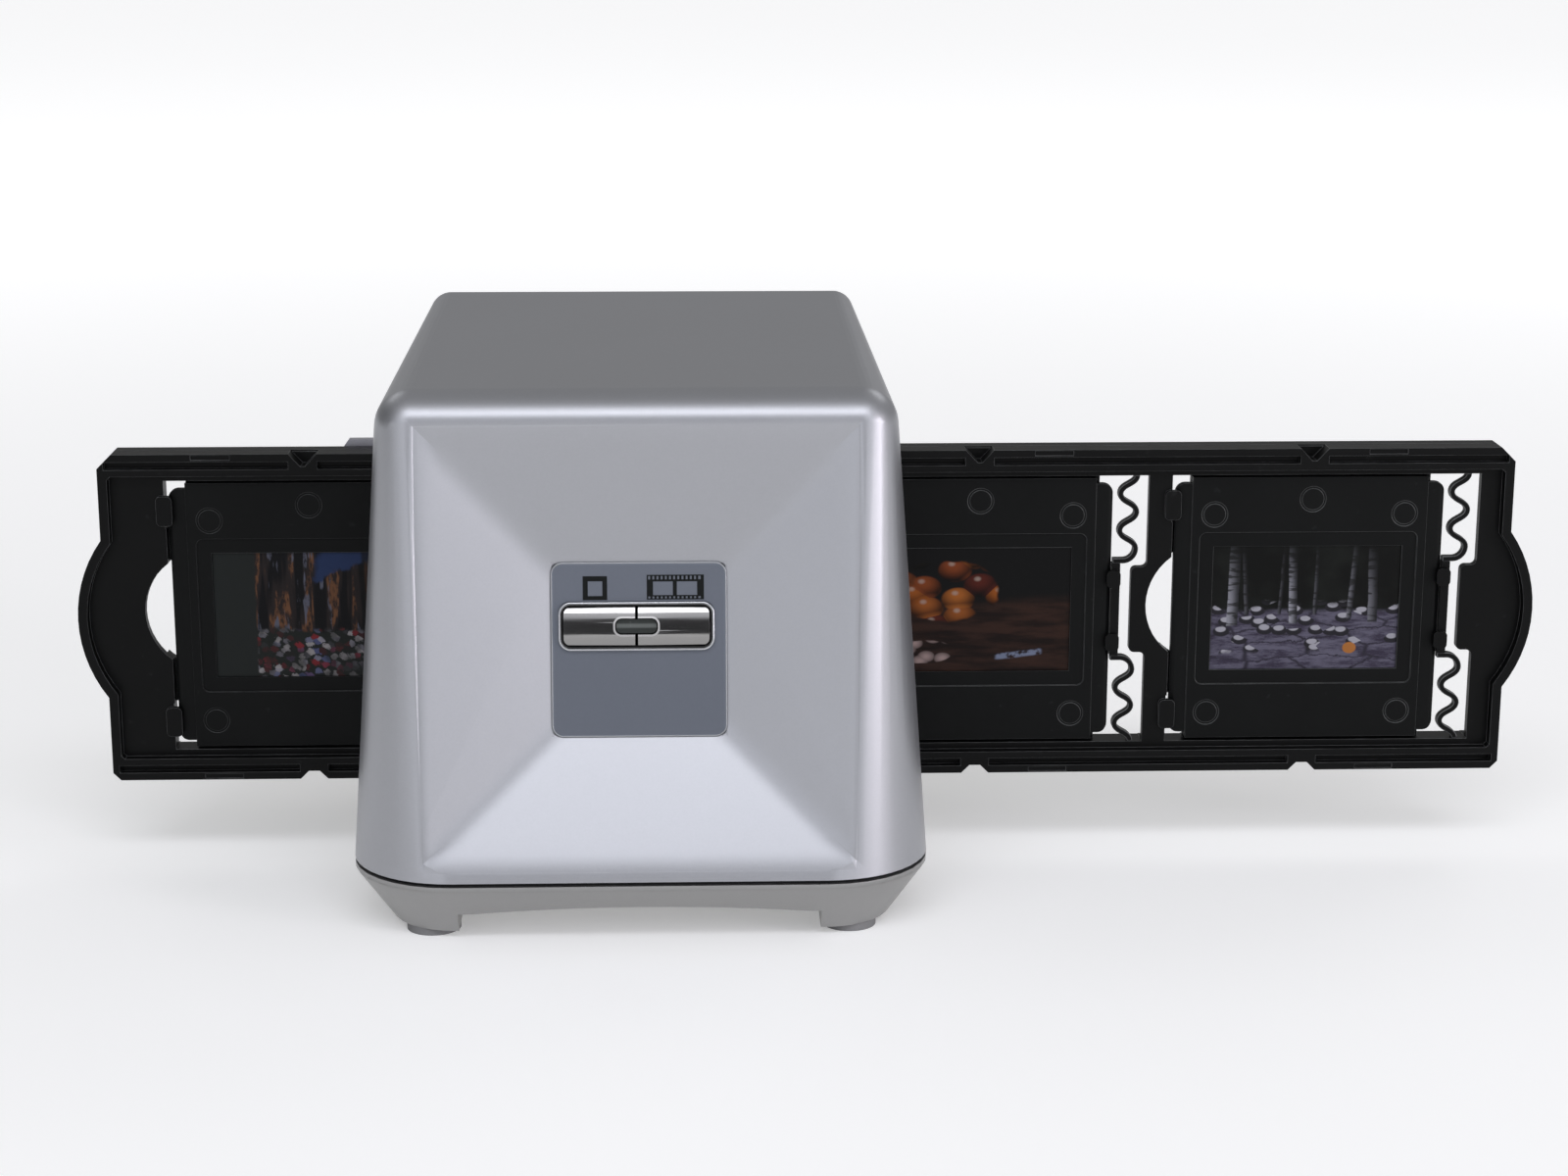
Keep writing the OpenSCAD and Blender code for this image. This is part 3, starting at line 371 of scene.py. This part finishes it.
def film_1():
    """A transparency of a pine wood over a flower meadow: lit trunks, a blue corner of sky, and a painted
    shadow of the housing over its right edge.
    """
    p = Paint("film_1_picture", Specular_IOR_Level=0.12)
    x, z = film_place(p, 1)
    rough = p.noise(0.004, 5.0, 0.65) - 0.5
    trunks = p.noise(0.0010, 2.0, stretch=(1, 1, 0.10))
    bark = p.noise(0.0006, 4.0, 0.7, stretch=(1, 1, 0.35))
    base = p.mix(trunks.step(0.45, 0.55), (0.004, 0.004, 0.006), (0.030, 0.022, 0.022))
    base = p.mix(trunks.step(0.56, 0.60) * bark.step(0.40, 0.60), base, (0.235, 0.105, 0.052))
    pale = p.noise(0.0008, 2.0, stretch=(1, 1, 0.16), shift=(0.7, 0, 0)).step(0.62, 0.66)
    base = p.mix(pale * bark.step(0.35, 0.55), base, (0.160, 0.165, 0.220))
    sky = (z - 0.35 * x - 3.4 + 7.0 * rough).step(2.4, 3.4) * (x - 1.0 + 6.0 * rough).step(0.0, 1.5)
    base = p.mix(sky, base, (0.030, 0.055, 0.150))
    meadow = (z + 2.6 + 5.0 * rough).step(0.4, -0.6)
    base = p.mix(meadow, base, (0.020, 0.024, 0.022))
    wob = 2.6 * (p.noise(0.0009, 4.0, 0.7) - 0.5)
    clump = p.noise(0.0035, 3.0, shift=(0.2, 0, 0.5)).step(0.42, 0.58)
    u, v = x + wob, z * 1.2 - wob
    hue = p.add("ShaderNodeSeparateColor", {}, {0: p.spots(u, v, 1.5, "Color")}, 0)
    bloom = p.spots(u, v, 1.5).step(0.56, 0.36) * meadow * (0.25 + 0.75 * clump)
    petals = p.ramp(hue, [(0.0, (0.400, 0.380, 0.440)), (0.32, (0.020, 0.020, 0.022)),
                          (0.50, (0.300, 0.035, 0.045)), (0.66, (0.110, 0.130, 0.270)),
                          (0.82, (0.460, 0.430, 0.440))])
    base = p.mix(bloom, base, petals)
    # painted shadow: the picture right of 9.6 mm is darkened by the housing's shadow
    dim = (x - 9.6 + rough).step(-0.3, 0.3) * 0.78
    base = p.mix(dim, base, (0.004, 0.004, 0.004))
    return film_paint(p.mix((x + 9.8).step(0.2, -0.2), base, (0.022, 0.026, 0.025)))


def film_2():
    """A transparency of rolling fields under haze; it rests inside the housing."""
    p = Paint("film_2_picture", Specular_IOR_Level=0.12)
    x, z = film_place(p, 2)
    hills = (z + 2.0 * (x * 0.25).sin() + 3.0 * p.noise(0.008, 3.0)).step(3.0, 2.7)
    rows = ((z * 1.3 + x * 0.35) * 2.6).sin().step(-0.1, 0.3)
    ground = p.mix(rows * p.noise(0.0012, 4.0).step(0.3, 0.6), (0.014, 0.026, 0.006), (0.120, 0.105, 0.020))
    trees = p.spots(x, z, 2.2).step(0.45, 0.25) * (z - 0.5).step(3.2, 2.4) * (z + 1.0).step(0.0, 1.0)
    base = p.mix(hills, p.mix((z - 3).step(0, 8), (0.210, 0.230, 0.270), (0.050, 0.080, 0.160)), ground)
    return film_paint(p.mix(trees, base, (0.008, 0.012, 0.006)))


def film_3():
    """A transparency of wet pebbles, orange, red and green, on dark wood with pale shells below."""
    p = Paint("film_3_picture", Specular_IOR_Level=0.12)
    x, z = film_place(p, 3)
    wave = p.noise(0.004, 3.0) - 0.5
    grain = p.noise(0.0010, 4.0, 0.6, stretch=(0.15, 1, 1))
    wood = p.mix(grain.step(0.35, 0.65), (0.012, 0.005, 0.004), (0.050, 0.022, 0.015))
    base = p.mix((z - 0.04 * x + 0.5 + wave).step(0.0, 3.2), wood, (0.0035, 0.0035, 0.004))
    size, squash = 4.6, (0.82, 1.15)
    hue = p.add("ShaderNodeSeparateColor", {}, {0: p.spots(x, z, size, "Color", stretch=squash)}, 0)
    stone = p.ramp(hue, [(0.0, (0.020, 0.034, 0.008)), (0.22, (0.160, 0.012, 0.012)),
                         (0.42, (0.520, 0.160, 0.030)), (0.62, (0.090, 0.010, 0.012)),
                         (0.80, (0.440, 0.120, 0.020))])
    near = p.spots(x, z, size, stretch=squash)
    lit = p.spots(x, z, size, stretch=squash, shift=(0.3, -0.9)).step(0.75, 0.05)
    gleam = p.spots(x, z, size, stretch=squash, shift=(0.6, -1.2)).step(0.16, 0.04)
    heap = ((x + 5.8) * (x + 5.8) * 0.0095 + (z - 3.6) * (z - 3.6) * 0.030 + 0.8 * wave).step(1.02, 0.86)
    base = p.mix(heap * near.step(0.60, 0.50), base, p.tint(stone, lit * 1.1))
    base = p.mix(heap * gleam * 0.6, base, (0.620, 0.500, 0.420))
    shells = p.spots(x, z, 2.7, stretch=(0.8, 1.15), shift=(0.4, 0.3))
    low = ((x + 10.5) * (x + 10.5) * 0.022 + (z + 8.0) * (z + 8.0) * 0.20 + wave).step(1.05, 0.85)
    base = p.mix(low * shells.step(0.52, 0.40), base, p.tint((0.52, 0.38, 0.36), shells.step(0.75, 0.0)))
    sprig = abs(z + 9.3 - 0.10 * x + 0.8 * wave).step(0.75, 0.35) * abs(x - 8.0).step(4.6, 3.8)
    base = p.mix(sprig * p.noise(0.0007, 3.0).step(0.40, 0.58), base, (0.250, 0.290, 0.420))
    return film_paint(base)


def film_4():
    """A transparency of birches and snow-capped stones by a frozen pond at night."""
    p = Paint("film_4_picture", Specular_IOR_Level=0.12)
    x, z = film_place(p, 4)
    rough = p.noise(0.003, 5.0, 0.7) - 0.5
    base = p.mix(p.noise(0.005, 4.0).step(0.4, 0.7), (0.0032, 0.0035, 0.0032), (0.012, 0.014, 0.012))
    ice = (z + 1.5 + 1.2 * rough).step(1.4, 0.2)
    cracks = p.spots(x, z + 3.0 * rough, 5.5, feature="DISTANCE_TO_EDGE", stretch=(0.5, 1.7)).step(0.0, 0.07)
    streak = p.noise(0.0014, 5.0, 0.75, stretch=(0.35, 1, 1.6)).step(0.38, 0.62)
    pond = p.mix(streak, (0.058, 0.048, 0.082), (0.190, 0.178, 0.250))
    base = p.mix(ice, base, p.mix(cracks, (0.045, 0.040, 0.060), pond))
    size, squash = 2.5, (0.75, 1.25)
    stones = p.spots(x, z, size, stretch=squash)
    pick = p.add("ShaderNodeSeparateColor", {}, {0: p.spots(x, z, size, "Color", stretch=squash)}, 1)
    cap = p.spots(x, z, size, stretch=squash, shift=(0.1, -0.5))
    bank = (z + 1.0 + 3.0 * rough).step(2.2, 0.8) * (z + 8.6 - 4.0 * rough).step(-0.6, 0.6) \
        * (pick > 0.45)
    base = p.mix(bank * stones.step(0.50, 0.42), base, (0.030, 0.028, 0.036))
    base = p.mix(bank * cap.step(0.34, 0.24) * stones.step(0.50, 0.42), base, (0.560, 0.550, 0.620))
    mark = p.noise(0.0006, 2.0, stretch=(0.3, 1, 1.5)).step(0.50, 0.60)
    for at, half, foot, tone, tilt in ((-13.4, 1.0, -3.5, 0.42, 0.02), (-10.9, 0.38, -1.6, 0.12, -0.06),
                                       (-4.6, 0.30, -1.4, 0.10, 0.05), (-2.2, 0.75, -3.2, 0.46, -0.03),
                                       (1.9, 0.34, -1.5, 0.13, 0.02), (8.4, 0.50, -2.2, 0.26, 0.07),
                                       (12.6, 0.85, -3.0, 0.22, -0.02)):
        lean = x - at - tilt * z - 0.5 * rough
        trunk = abs(lean).step(half + 0.12, half - 0.08) * (z - foot).step(-0.2, 0.4) * z.step(14.0, -1.0)
        side = lean.step(-half, half)
        bark = p.mix(side, (tone, tone, tone * 1.15), (tone * 0.12, tone * 0.12, tone * 0.14))
        base = p.mix(trunk, base, p.mix(mark * 0.8, bark, (0.02, 0.02, 0.02)))
    ember = ((x - 8.6) * (x - 8.6) + (z + 7.8) * (z + 7.8) * 1.4).step(1.9, 1.3)
    return film_paint(p.mix(ember, base, (0.600, 0.230, 0.060)))


def clear_glass():
    """Coated lens glass with a faint violet bloom."""
    p = Paint("coated_glass", Roughness=0.03, IOR=1.52, Transmission_Weight=0.9)
    p.set("Base Color", p.tint((0.86, 0.88, 0.97), 0.97 + 0.03 * p.noise(0.004)))
    return p.mat


def lamp_window():
    """Smoked lamp window, a little lighter along its middle."""
    p = Paint("smoked_window", IOR=1.5, Coat_Weight=0.3)
    x, up, deep = panel_place(p)
    band = abs(up - BUTTON_Z - 0.1).step(0.55, 0.15)
    p.set("Base Color", p.mix(band, (0.020, 0.024, 0.022), (0.105, 0.115, 0.110)))
    p.set("Roughness", 0.2 + 0.1 * p.noise(0.001))
    return p.mat


def diffusing(name, colour):
    """Pale plastic that spreads light, with a fine speckle."""
    p = Paint(name, Specular_IOR_Level=0.4)
    fine = p.noise(0.0005, 2.0)
    p.set("Base Color", p.tint(colour, 0.93 + 0.08 * fine))
    p.set("Roughness", 0.55 + 0.1 * fine)
    p.bump(0.000004 * fine)
    return p.mat


def sensor_face():
    """Silicon under its glass: a violet active area inside a bond-wire frame."""
    p = Paint("sensor_face", IOR=1.5)
    active = (abs(p.x * 1000 - BODY_X) < 3.6) * (abs(p.z * 1000 - TRAY_Z) < 2.7)
    p.set("Base Color", p.mix(active, (0.045, 0.050, 0.048), (0.060, 0.030, 0.110)))
    p.set("Roughness", 0.12 + 0.1 * p.noise(0.002))
    return p.mat


def put(names, mat):
    """Gives nodes one material."""
    for name in names:
        materials = nodes[name].data.materials
        materials.clear()
        materials.append(mat)


m_silver = silver("silver_paint", (0.392, 0.398, 0.422), True)
# painted shade: the base shell has a darker, warmer copy of the silver paint, for the shade on the base
m_silver_shaded = silver("silver_paint_base_shaded", (0.330, 0.328, 0.325), False)
m_ink = print_ink()
m_tray = moulded("black_satin", (0.0034, 0.0035, 0.0035), 0.36, 0.10, wear=1.6, spread=0.5)
m_mount = moulded("black_mount", (0.0036, 0.0039, 0.0039), 0.44, 0.10, relief=0.000008, wear=1.6,
                  spread=0.6)
# paler edges of the tray, bars, springs and mounts: painted highlight
m_tray_edge = highlight_edge_paint("black_satin_edge", (0.085, 0.087, 0.088))
m_mount_edge = highlight_edge_paint("black_mount_edge", (0.030, 0.032, 0.032))

# painted light: the entry guide has a lighter, lilac copy of the silver paint, for the bright reflection on
# it
put(["entry_guide"], silver("guide_silver_lightened", (0.50, 0.495, 0.54), False))
put(["seam_seal"], moulded("seam_black", (0.010, 0.010, 0.011), 0.7, 0.2))
put(["foot_pads"], rubber("pad_rubber", (0.21, 0.21, 0.212)))
put(["base_screws", "chassis_screws", "board_screws"],
    bare_metal("zinc_screw", (0.55, 0.55, 0.54), 0.3, (1, 1, 1)))
put(["badge_plate"], badge_paint())
put(["status_lamp"], lamp_window())
put(["button_board", "lamp_board", "sensor_board", "main_board"], circuit_board())
put(["button_switches", "lens_holder", "lens_barrel", "board_parts"],
    moulded("inner_black", (0.016, 0.016, 0.017), 0.55, 0.3))
put(["tray_chassis"], moulded("chassis_grey", (0.045, 0.046, 0.049), 0.6, 0.3))
put(["detent_spring"], bare_metal("spring_steel", (0.60, 0.60, 0.58), 0.22, (0.1, 1, 1)))
put(["light_box"], diffusing("white_box", (0.78, 0.78, 0.76)))
put(["lamp_leds"], diffusing("phosphor", (0.78, 0.70, 0.30)))
put(["diffuser_plate"], diffusing("opal_plate", (0.82, 0.82, 0.80)))
put(["lens_glass"], clear_glass())
put(["image_sensor"], sensor_face())
put(["usb_socket"], bare_metal("nickel_shell", (0.62, 0.61, 0.60), 0.25, (1, 0.1, 1)))
put(["usb_core"], moulded("insulator_white", (0.62, 0.62, 0.60), 0.45, 0.4))
put(["sensor_cable", "front_cables"], polyimide())
for i, make in enumerate((film_1, film_2, film_3, film_4), 1):
    put([f"slide_film_{i}"], make())


# ---------------------------------------------------------------- pieces
def new_piece(name, verts, faces, mat, smooth=True):
    """A mesh of its own on the housing."""
    mesh = bpy.data.meshes.new(name)
    mesh.from_pydata(np.asarray(verts).reshape(-1, 3).tolist(), [], np.asarray(faces).tolist())
    mesh.update()
    o = bpy.data.objects.new(name, mesh)
    bpy.context.collection.objects.link(o)
    mesh.materials.append(mat)
    mesh.polygons.foreach_set("use_smooth", np.full(len(mesh.polygons), smooth))
    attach(o, "housing")


def eased_copy(name, node, body, mat, angle, bevel=0.0, segments=2, edge=None):
    """A CAD node's own shape with its triangles joined, its flats merged and its faces shaded smooth.
    With a `bevel`, in millimetres, edges of more than 40 degrees are broken by a rounding, which may
    have its own material; the paler one used on the tray and mounts is a painted highlight. Without one,
    edges of more than `angle` degrees stay crisp."""
    o = nodes[node].copy()
    o.data = nodes[node].data.copy()
    o.name = o.data.name = name
    bpy.context.collection.objects.link(o)
    bm = bmesh.new()
    bm.from_mesh(o.data)
    bmesh.ops.remove_doubles(bm, verts=bm.verts, dist=1e-6)
    bmesh.ops.dissolve_limit(bm, angle_limit=math.radians(0.6), verts=bm.verts, edges=bm.edges)
    bm.to_mesh(o.data)
    bm.free()
    o.data.polygons.foreach_set("use_smooth", np.ones(len(o.data.polygons), dtype=bool))
    o.data.set_sharp_from_angle(angle=math.radians(angle))
    o.data.materials.clear()
    o.data.materials.append(mat)
    if edge:
        o.data.materials.append(edge)
    if bevel:
        m = o.modifiers.new("eased", "BEVEL")
        m.width, m.segments, m.limit_method = bevel * MM, segments, "ANGLE"
        m.angle_limit = math.radians(40)
        if edge:
            m.material = 1
    w = o.modifiers.new("even", "WEIGHTED_NORMAL")
    w.keep_sharp = not bevel
    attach(o, body)
    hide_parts(node)


def on_panel(x, up, deep):
    """Points of the leaning front, in millimetres across, up and into it, as places in metres."""
    s, c = math.sin(LEAN), math.cos(LEAN)
    x, up, deep = np.broadcast_arrays(np.asarray(x, float), up, deep)
    return np.stack([BODY_X + x, BODY_FRONT + deep * c + up * s, SEAM_Z - deep * s + up * c], -1) * MM


def printed(name, rects):
    """Thin plates: for each row (left, low, right, high), a slab INK thick on the badge's face, which it
    enters a little."""
    r = np.asarray(rects, float)
    x = r[:, [0, 2, 2, 0]]
    z = r[:, [1, 1, 3, 3]] + BADGE_Z
    front = on_panel(x, z, BADGE_FACE - INK)
    back = on_panel(x, z, BADGE_FACE + 0.02)
    verts = np.concatenate([front, back], 1).reshape(-1, 3)
    box = np.array([[0, 1, 2, 3], [7, 6, 5, 4], [1, 0, 4, 5], [2, 1, 5, 6], [3, 2, 6, 7], [0, 3, 7, 4]])
    faces = (box[None] + 8 * np.arange(len(r))[:, None, None]).reshape(-1, 4)
    new_piece(name, verts, faces, m_ink, smooth=False)


def round_square(w, h, r):
    """Points round a rectangle with rounded corners, and their outward directions: each corner's arc
    is centred r inside it, and the straights join the arcs."""
    a = np.linspace(0, np.pi / 2, 12)[None, :] + np.array([0, 1, 2, 3])[:, None] * np.pi / 2
    cx = np.array([1, -1, -1, 1])[:, None] * (w / 2 - r)
    cz = np.array([1, 1, -1, -1])[:, None] * (h / 2 - r)
    n = np.stack([np.cos(a), np.sin(a)], -1).reshape(-1, 2)
    return np.stack([cx + 0 * a, cz + 0 * a], -1).reshape(-1, 2) + r * n, n


def rim(name, w, h, r, up, profile, mat):
    """A closed profile (outward, depth) carried round a rounded rectangle whose middle is `up` the
    panel."""
    path, out = round_square(w, h, r)
    prof = np.asarray(profile, float)
    x = path[:, None, 0] + out[:, None, 0] * prof[None, :, 0]
    z = path[:, None, 1] + out[:, None, 1] * prof[None, :, 0] + up
    verts = on_panel(x, z, prof[None, :, 1] + 0 * x)
    n, m = x.shape
    i, j = np.meshgrid(np.arange(n), np.arange(m), indexing="ij")
    a, b = i * m + j, ((i + 1) % n) * m + j
    c, d = ((i + 1) % n) * m + (j + 1) % m, i * m + (j + 1) % m
    new_piece(name, verts, np.stack([a, b, c, d], -1).reshape(-1, 4), mat)


def frame_rects(x0, z0, x1, z1, ix0, iz0, ix1, iz1):
    """A rectangle with a rectangular window as four strips: below, above, left and right of it."""
    return [(x0, z0, x1, iz0), (x0, iz1, x1, z1), (x0, iz0, ix0, iz1), (ix1, iz0, x1, iz1)]


# the slide sign: a square with a square window
printed("slide_sign", frame_rects(-9.55, 8.57, -5.38, 12.68, -8.68, 9.28, -6.20, 11.80))

# the film sign: two windows side by side, and above and below them a band with a row of perforations
FILM_LEFT, FILM_RIGHT, FILM_LOW, FILM_HIGH = 1.38, 11.15, 8.60, 12.85
BAND_LOW, BAND_HIGH = 9.35, 11.85
HOLES, HOLE_EDGE, HOLE_WIDE = 13, 0.21, 0.32
FILM_MIDDLE = (FILM_LEFT + FILM_RIGHT) / 2
film_sign = frame_rects(FILM_LEFT, BAND_LOW, FILM_MIDDLE, BAND_HIGH, 2.45, 9.36, 5.83, 11.70)
film_sign += frame_rects(FILM_MIDDLE, BAND_LOW, FILM_RIGHT, BAND_HIGH, 6.52, 9.36, 9.98, 11.70)
edges = np.linspace(FILM_LEFT + 0.26, FILM_RIGHT - 0.26, HOLES + 1)
for z0, z1 in ((FILM_LOW, BAND_LOW), (BAND_HIGH, FILM_HIGH)):
    m0, m1 = z0 + HOLE_EDGE, z1 - HOLE_EDGE
    film_sign += [(FILM_LEFT, z0, FILM_RIGHT, m0), (FILM_LEFT, m1, FILM_RIGHT, z1)]
    film_sign += [(FILM_LEFT, m0, edges[0], m1), (edges[-1] - 0.3, m0, FILM_RIGHT, m1)]
    film_sign += [(a + HOLE_WIDE, m0, b, m1) for a, b in zip(edges[:-2], edges[1:-1])]
printed("film_sign", film_sign)

# the badge's silver border: from its foot on the sunk front over its crest to the badge's face
rim("badge_border", BORDER, BORDER, 2.0, BADGE_Z,
    [(0.16, 7.98), (0.10, 7.84), (0.02, 7.70), (-0.10, 7.64), (-0.20, 7.70), (-0.20, 7.9)],
    silver("border_silver", (0.33, 0.34, 0.355), False))

# painted shade: the ring is black inside its well, and the buttons where they fall away below their crown,
# for the dark gaps between them
m_ring = chrome("ring_plating", (0.60, 0.61, 0.63), 0.22,
                lambda x, v, deep: rounded(x, v, *WELL_ROUND) < 0.0)
m_button = chrome("button_plating", (0.31, 0.305, 0.30), 0.10,
                  lambda x, v, deep: deep > CAP_FRONT + CAP_RADIUS + 0.32
                  - (CAP_RADIUS ** 2 - v * v).high(1.0).power(0.5), crowned=True)

# the shells, tray, bars, springs, mounts, ring and buttons, copied from their nodes
eased_copy("upper_shell_skin", "upper_shell", "housing", m_silver, 14)
eased_copy("base_shell_skin", "base_shell", "housing", m_silver_shaded, 25, 0.25)
eased_copy("tray_body", "tray_frame", "tray", m_tray, 30, 0.2, 2, m_tray_edge)
for i in range(1, 5):
    eased_copy(f"push_bar_{i}_eased", f"push_bar_{i}", f"clamp_{i}", m_tray,
               30, 0.18, 2, m_tray_edge)
    eased_copy(f"bar_springs_{i}_eased", f"bar_springs_{i}", "tray", m_tray,
               35, 0.14, 2, m_tray_edge)
    eased_copy(f"slide_mount_{i}_eased", f"slide_mount_{i}", "tray", m_mount,
               30, 0.12, 2, m_mount_edge)
eased_copy("ring_eased", "button_ring", "housing", m_ring, 30, 0.22, 3)
eased_copy("slide_button_eased", "slide_button", "slide_key", m_button, 25, 0.22, 3)
eased_copy("film_button_eased", "film_button", "film_key", m_button, 25, 0.22, 3)


# ---------------------------------------------------------------- floor, light and camera
def floor_paint():
    """Pale floor. Seen directly, mirrored or through glass it is lifted to white, and keeps the shadow."""
    p = Paint("pale_floor", Specular_IOR_Level=0.1, Roughness=0.9, Emission_Strength=1.0)
    p.set("Base Color", p.tint((0.88, 0.88, 0.88), 0.985 + 0.015 * p.noise(0.4, 2.0)))
    ray = p.add("ShaderNodeLightPath", whole=True)
    seen = Val(p, ray.outputs["Is Camera Ray"]).high(Val(p, ray.outputs["Is Glossy Ray"]))
    seen = seen.high(Val(p, ray.outputs["Is Transmission Ray"]))
    away = (p.x * p.x + p.y * p.y).power(0.5).step(0.2, 1.2)
    p.set("Emission Color", p.tint((1, 1, 1), seen * (0.27 + 0.25 * away)))
    return p.mat


FLOOR = 6.0                     # half the floor's side, in metres
ground = bpy.data.meshes.new("floor")
ground.from_pydata([(-FLOOR, -FLOOR, 0), (FLOOR, -FLOOR, 0), (FLOOR, FLOOR, 0), (-FLOOR, FLOOR, 0)],
                   [], [(0, 1, 2, 3)])
floor = bpy.data.objects.new("floor", ground)
bpy.context.collection.objects.link(floor)
ground.materials.append(floor_paint())

# a studio that is light in front and plain grey behind, darker far to the left, with the dark of the
# camera stand straight ahead
world = bpy.data.worlds.new("studio")
bpy.context.scene.world = world
world.use_nodes = True
sky = Graph(world.node_tree, "Background", "Generated")
front = (-sky.y).step(0.30, 0.72)
stand = abs(sky.x).step(0.20, 0.09) * sky.z.step(0.60, 0.42) * (-sky.y).step(0.0, 0.3)
left = (-sky.x).step(0.60, 0.95)
tone = (0.34 + 0.84 * front) * (1 - 0.94 * stand) * (1 - 0.65 * left)
sky.set("Color", sky.tint(sky.mix(front, (1.0, 1.0, 1.0), (0.97, 0.985, 1.045)), tone))
sky.set("Strength", 1.0)


def lamp(name, turn, height, away, size, shine, colour=(1, 1, 1)):
    """A soft box aimed at the object from `turn` degrees right of the front and `height` degrees up,
    `away` metres off. `shine` is its brightness beside a white wall's 1: power is that times pi times
    its area."""
    t, h = math.radians(turn), math.radians(height)
    light = bpy.data.lights.new(name, "AREA")
    light.shape, light.size, light.size_y = "RECTANGLE", size[0], size[1]
    light.energy, light.color = shine * math.pi * size[0] * size[1], colour
    o = bpy.data.objects.new(name, light)
    bpy.context.collection.objects.link(o)
    aim = Vector((-0.02, 0, 0.06))
    o.location = aim + away * Vector((math.sin(t) * math.cos(h), -math.cos(t) * math.cos(h), math.sin(h)))
    o.rotation_euler = (aim - o.location).to_track_quat("-Z", "Y").to_euler()


lamp("window", 0, 48, 1.7, (1.5, 0.36), 4.4, (0.98, 0.99, 1.04))
lamp("right_lamp", 57, 8, 1.4, (0.26, 0.6), 9.0, (1.03, 0.96, 1.02))
lamp("back_left", -138, 40, 1.8, (0.8, 0.5), 1.1)
lamp("back_right", 138, 40, 1.8, (0.8, 0.5), 1.6)

# the camera stands at CAMERA_AT, in millimetres, tilted down, turned right and rolled by some degrees
CAMERA_AT = (-22.583, -522.649, 181.188)
CAMERA_TURNS = (13.97, 1.94, 0.07)
camera = bpy.data.cameras.new("camera")
camera.lens, camera.sensor_width, camera.sensor_fit = 67.5, 36.0, "HORIZONTAL"
camera.clip_start, camera.clip_end = 0.01, 50
cam = bpy.data.objects.new("camera", camera)
bpy.context.collection.objects.link(cam)
pitch, yaw, roll = map(math.radians, CAMERA_TURNS)
ahead = Vector((math.sin(yaw) * math.cos(pitch), math.cos(yaw) * math.cos(pitch), -math.sin(pitch)))
across = Vector((math.cos(yaw), -math.sin(yaw), 0))
over = across.cross(ahead)
right = across * math.cos(roll) + over * math.sin(roll)
top = over * math.cos(roll) - across * math.sin(roll)
turned = Matrix((right, top, -ahead)).transposed().to_4x4()
turned.translation = Vector(CAMERA_AT) * MM
cam.matrix_world = turned
bpy.context.scene.camera = cam
bpy.context.scene.view_settings.view_transform = "Standard"
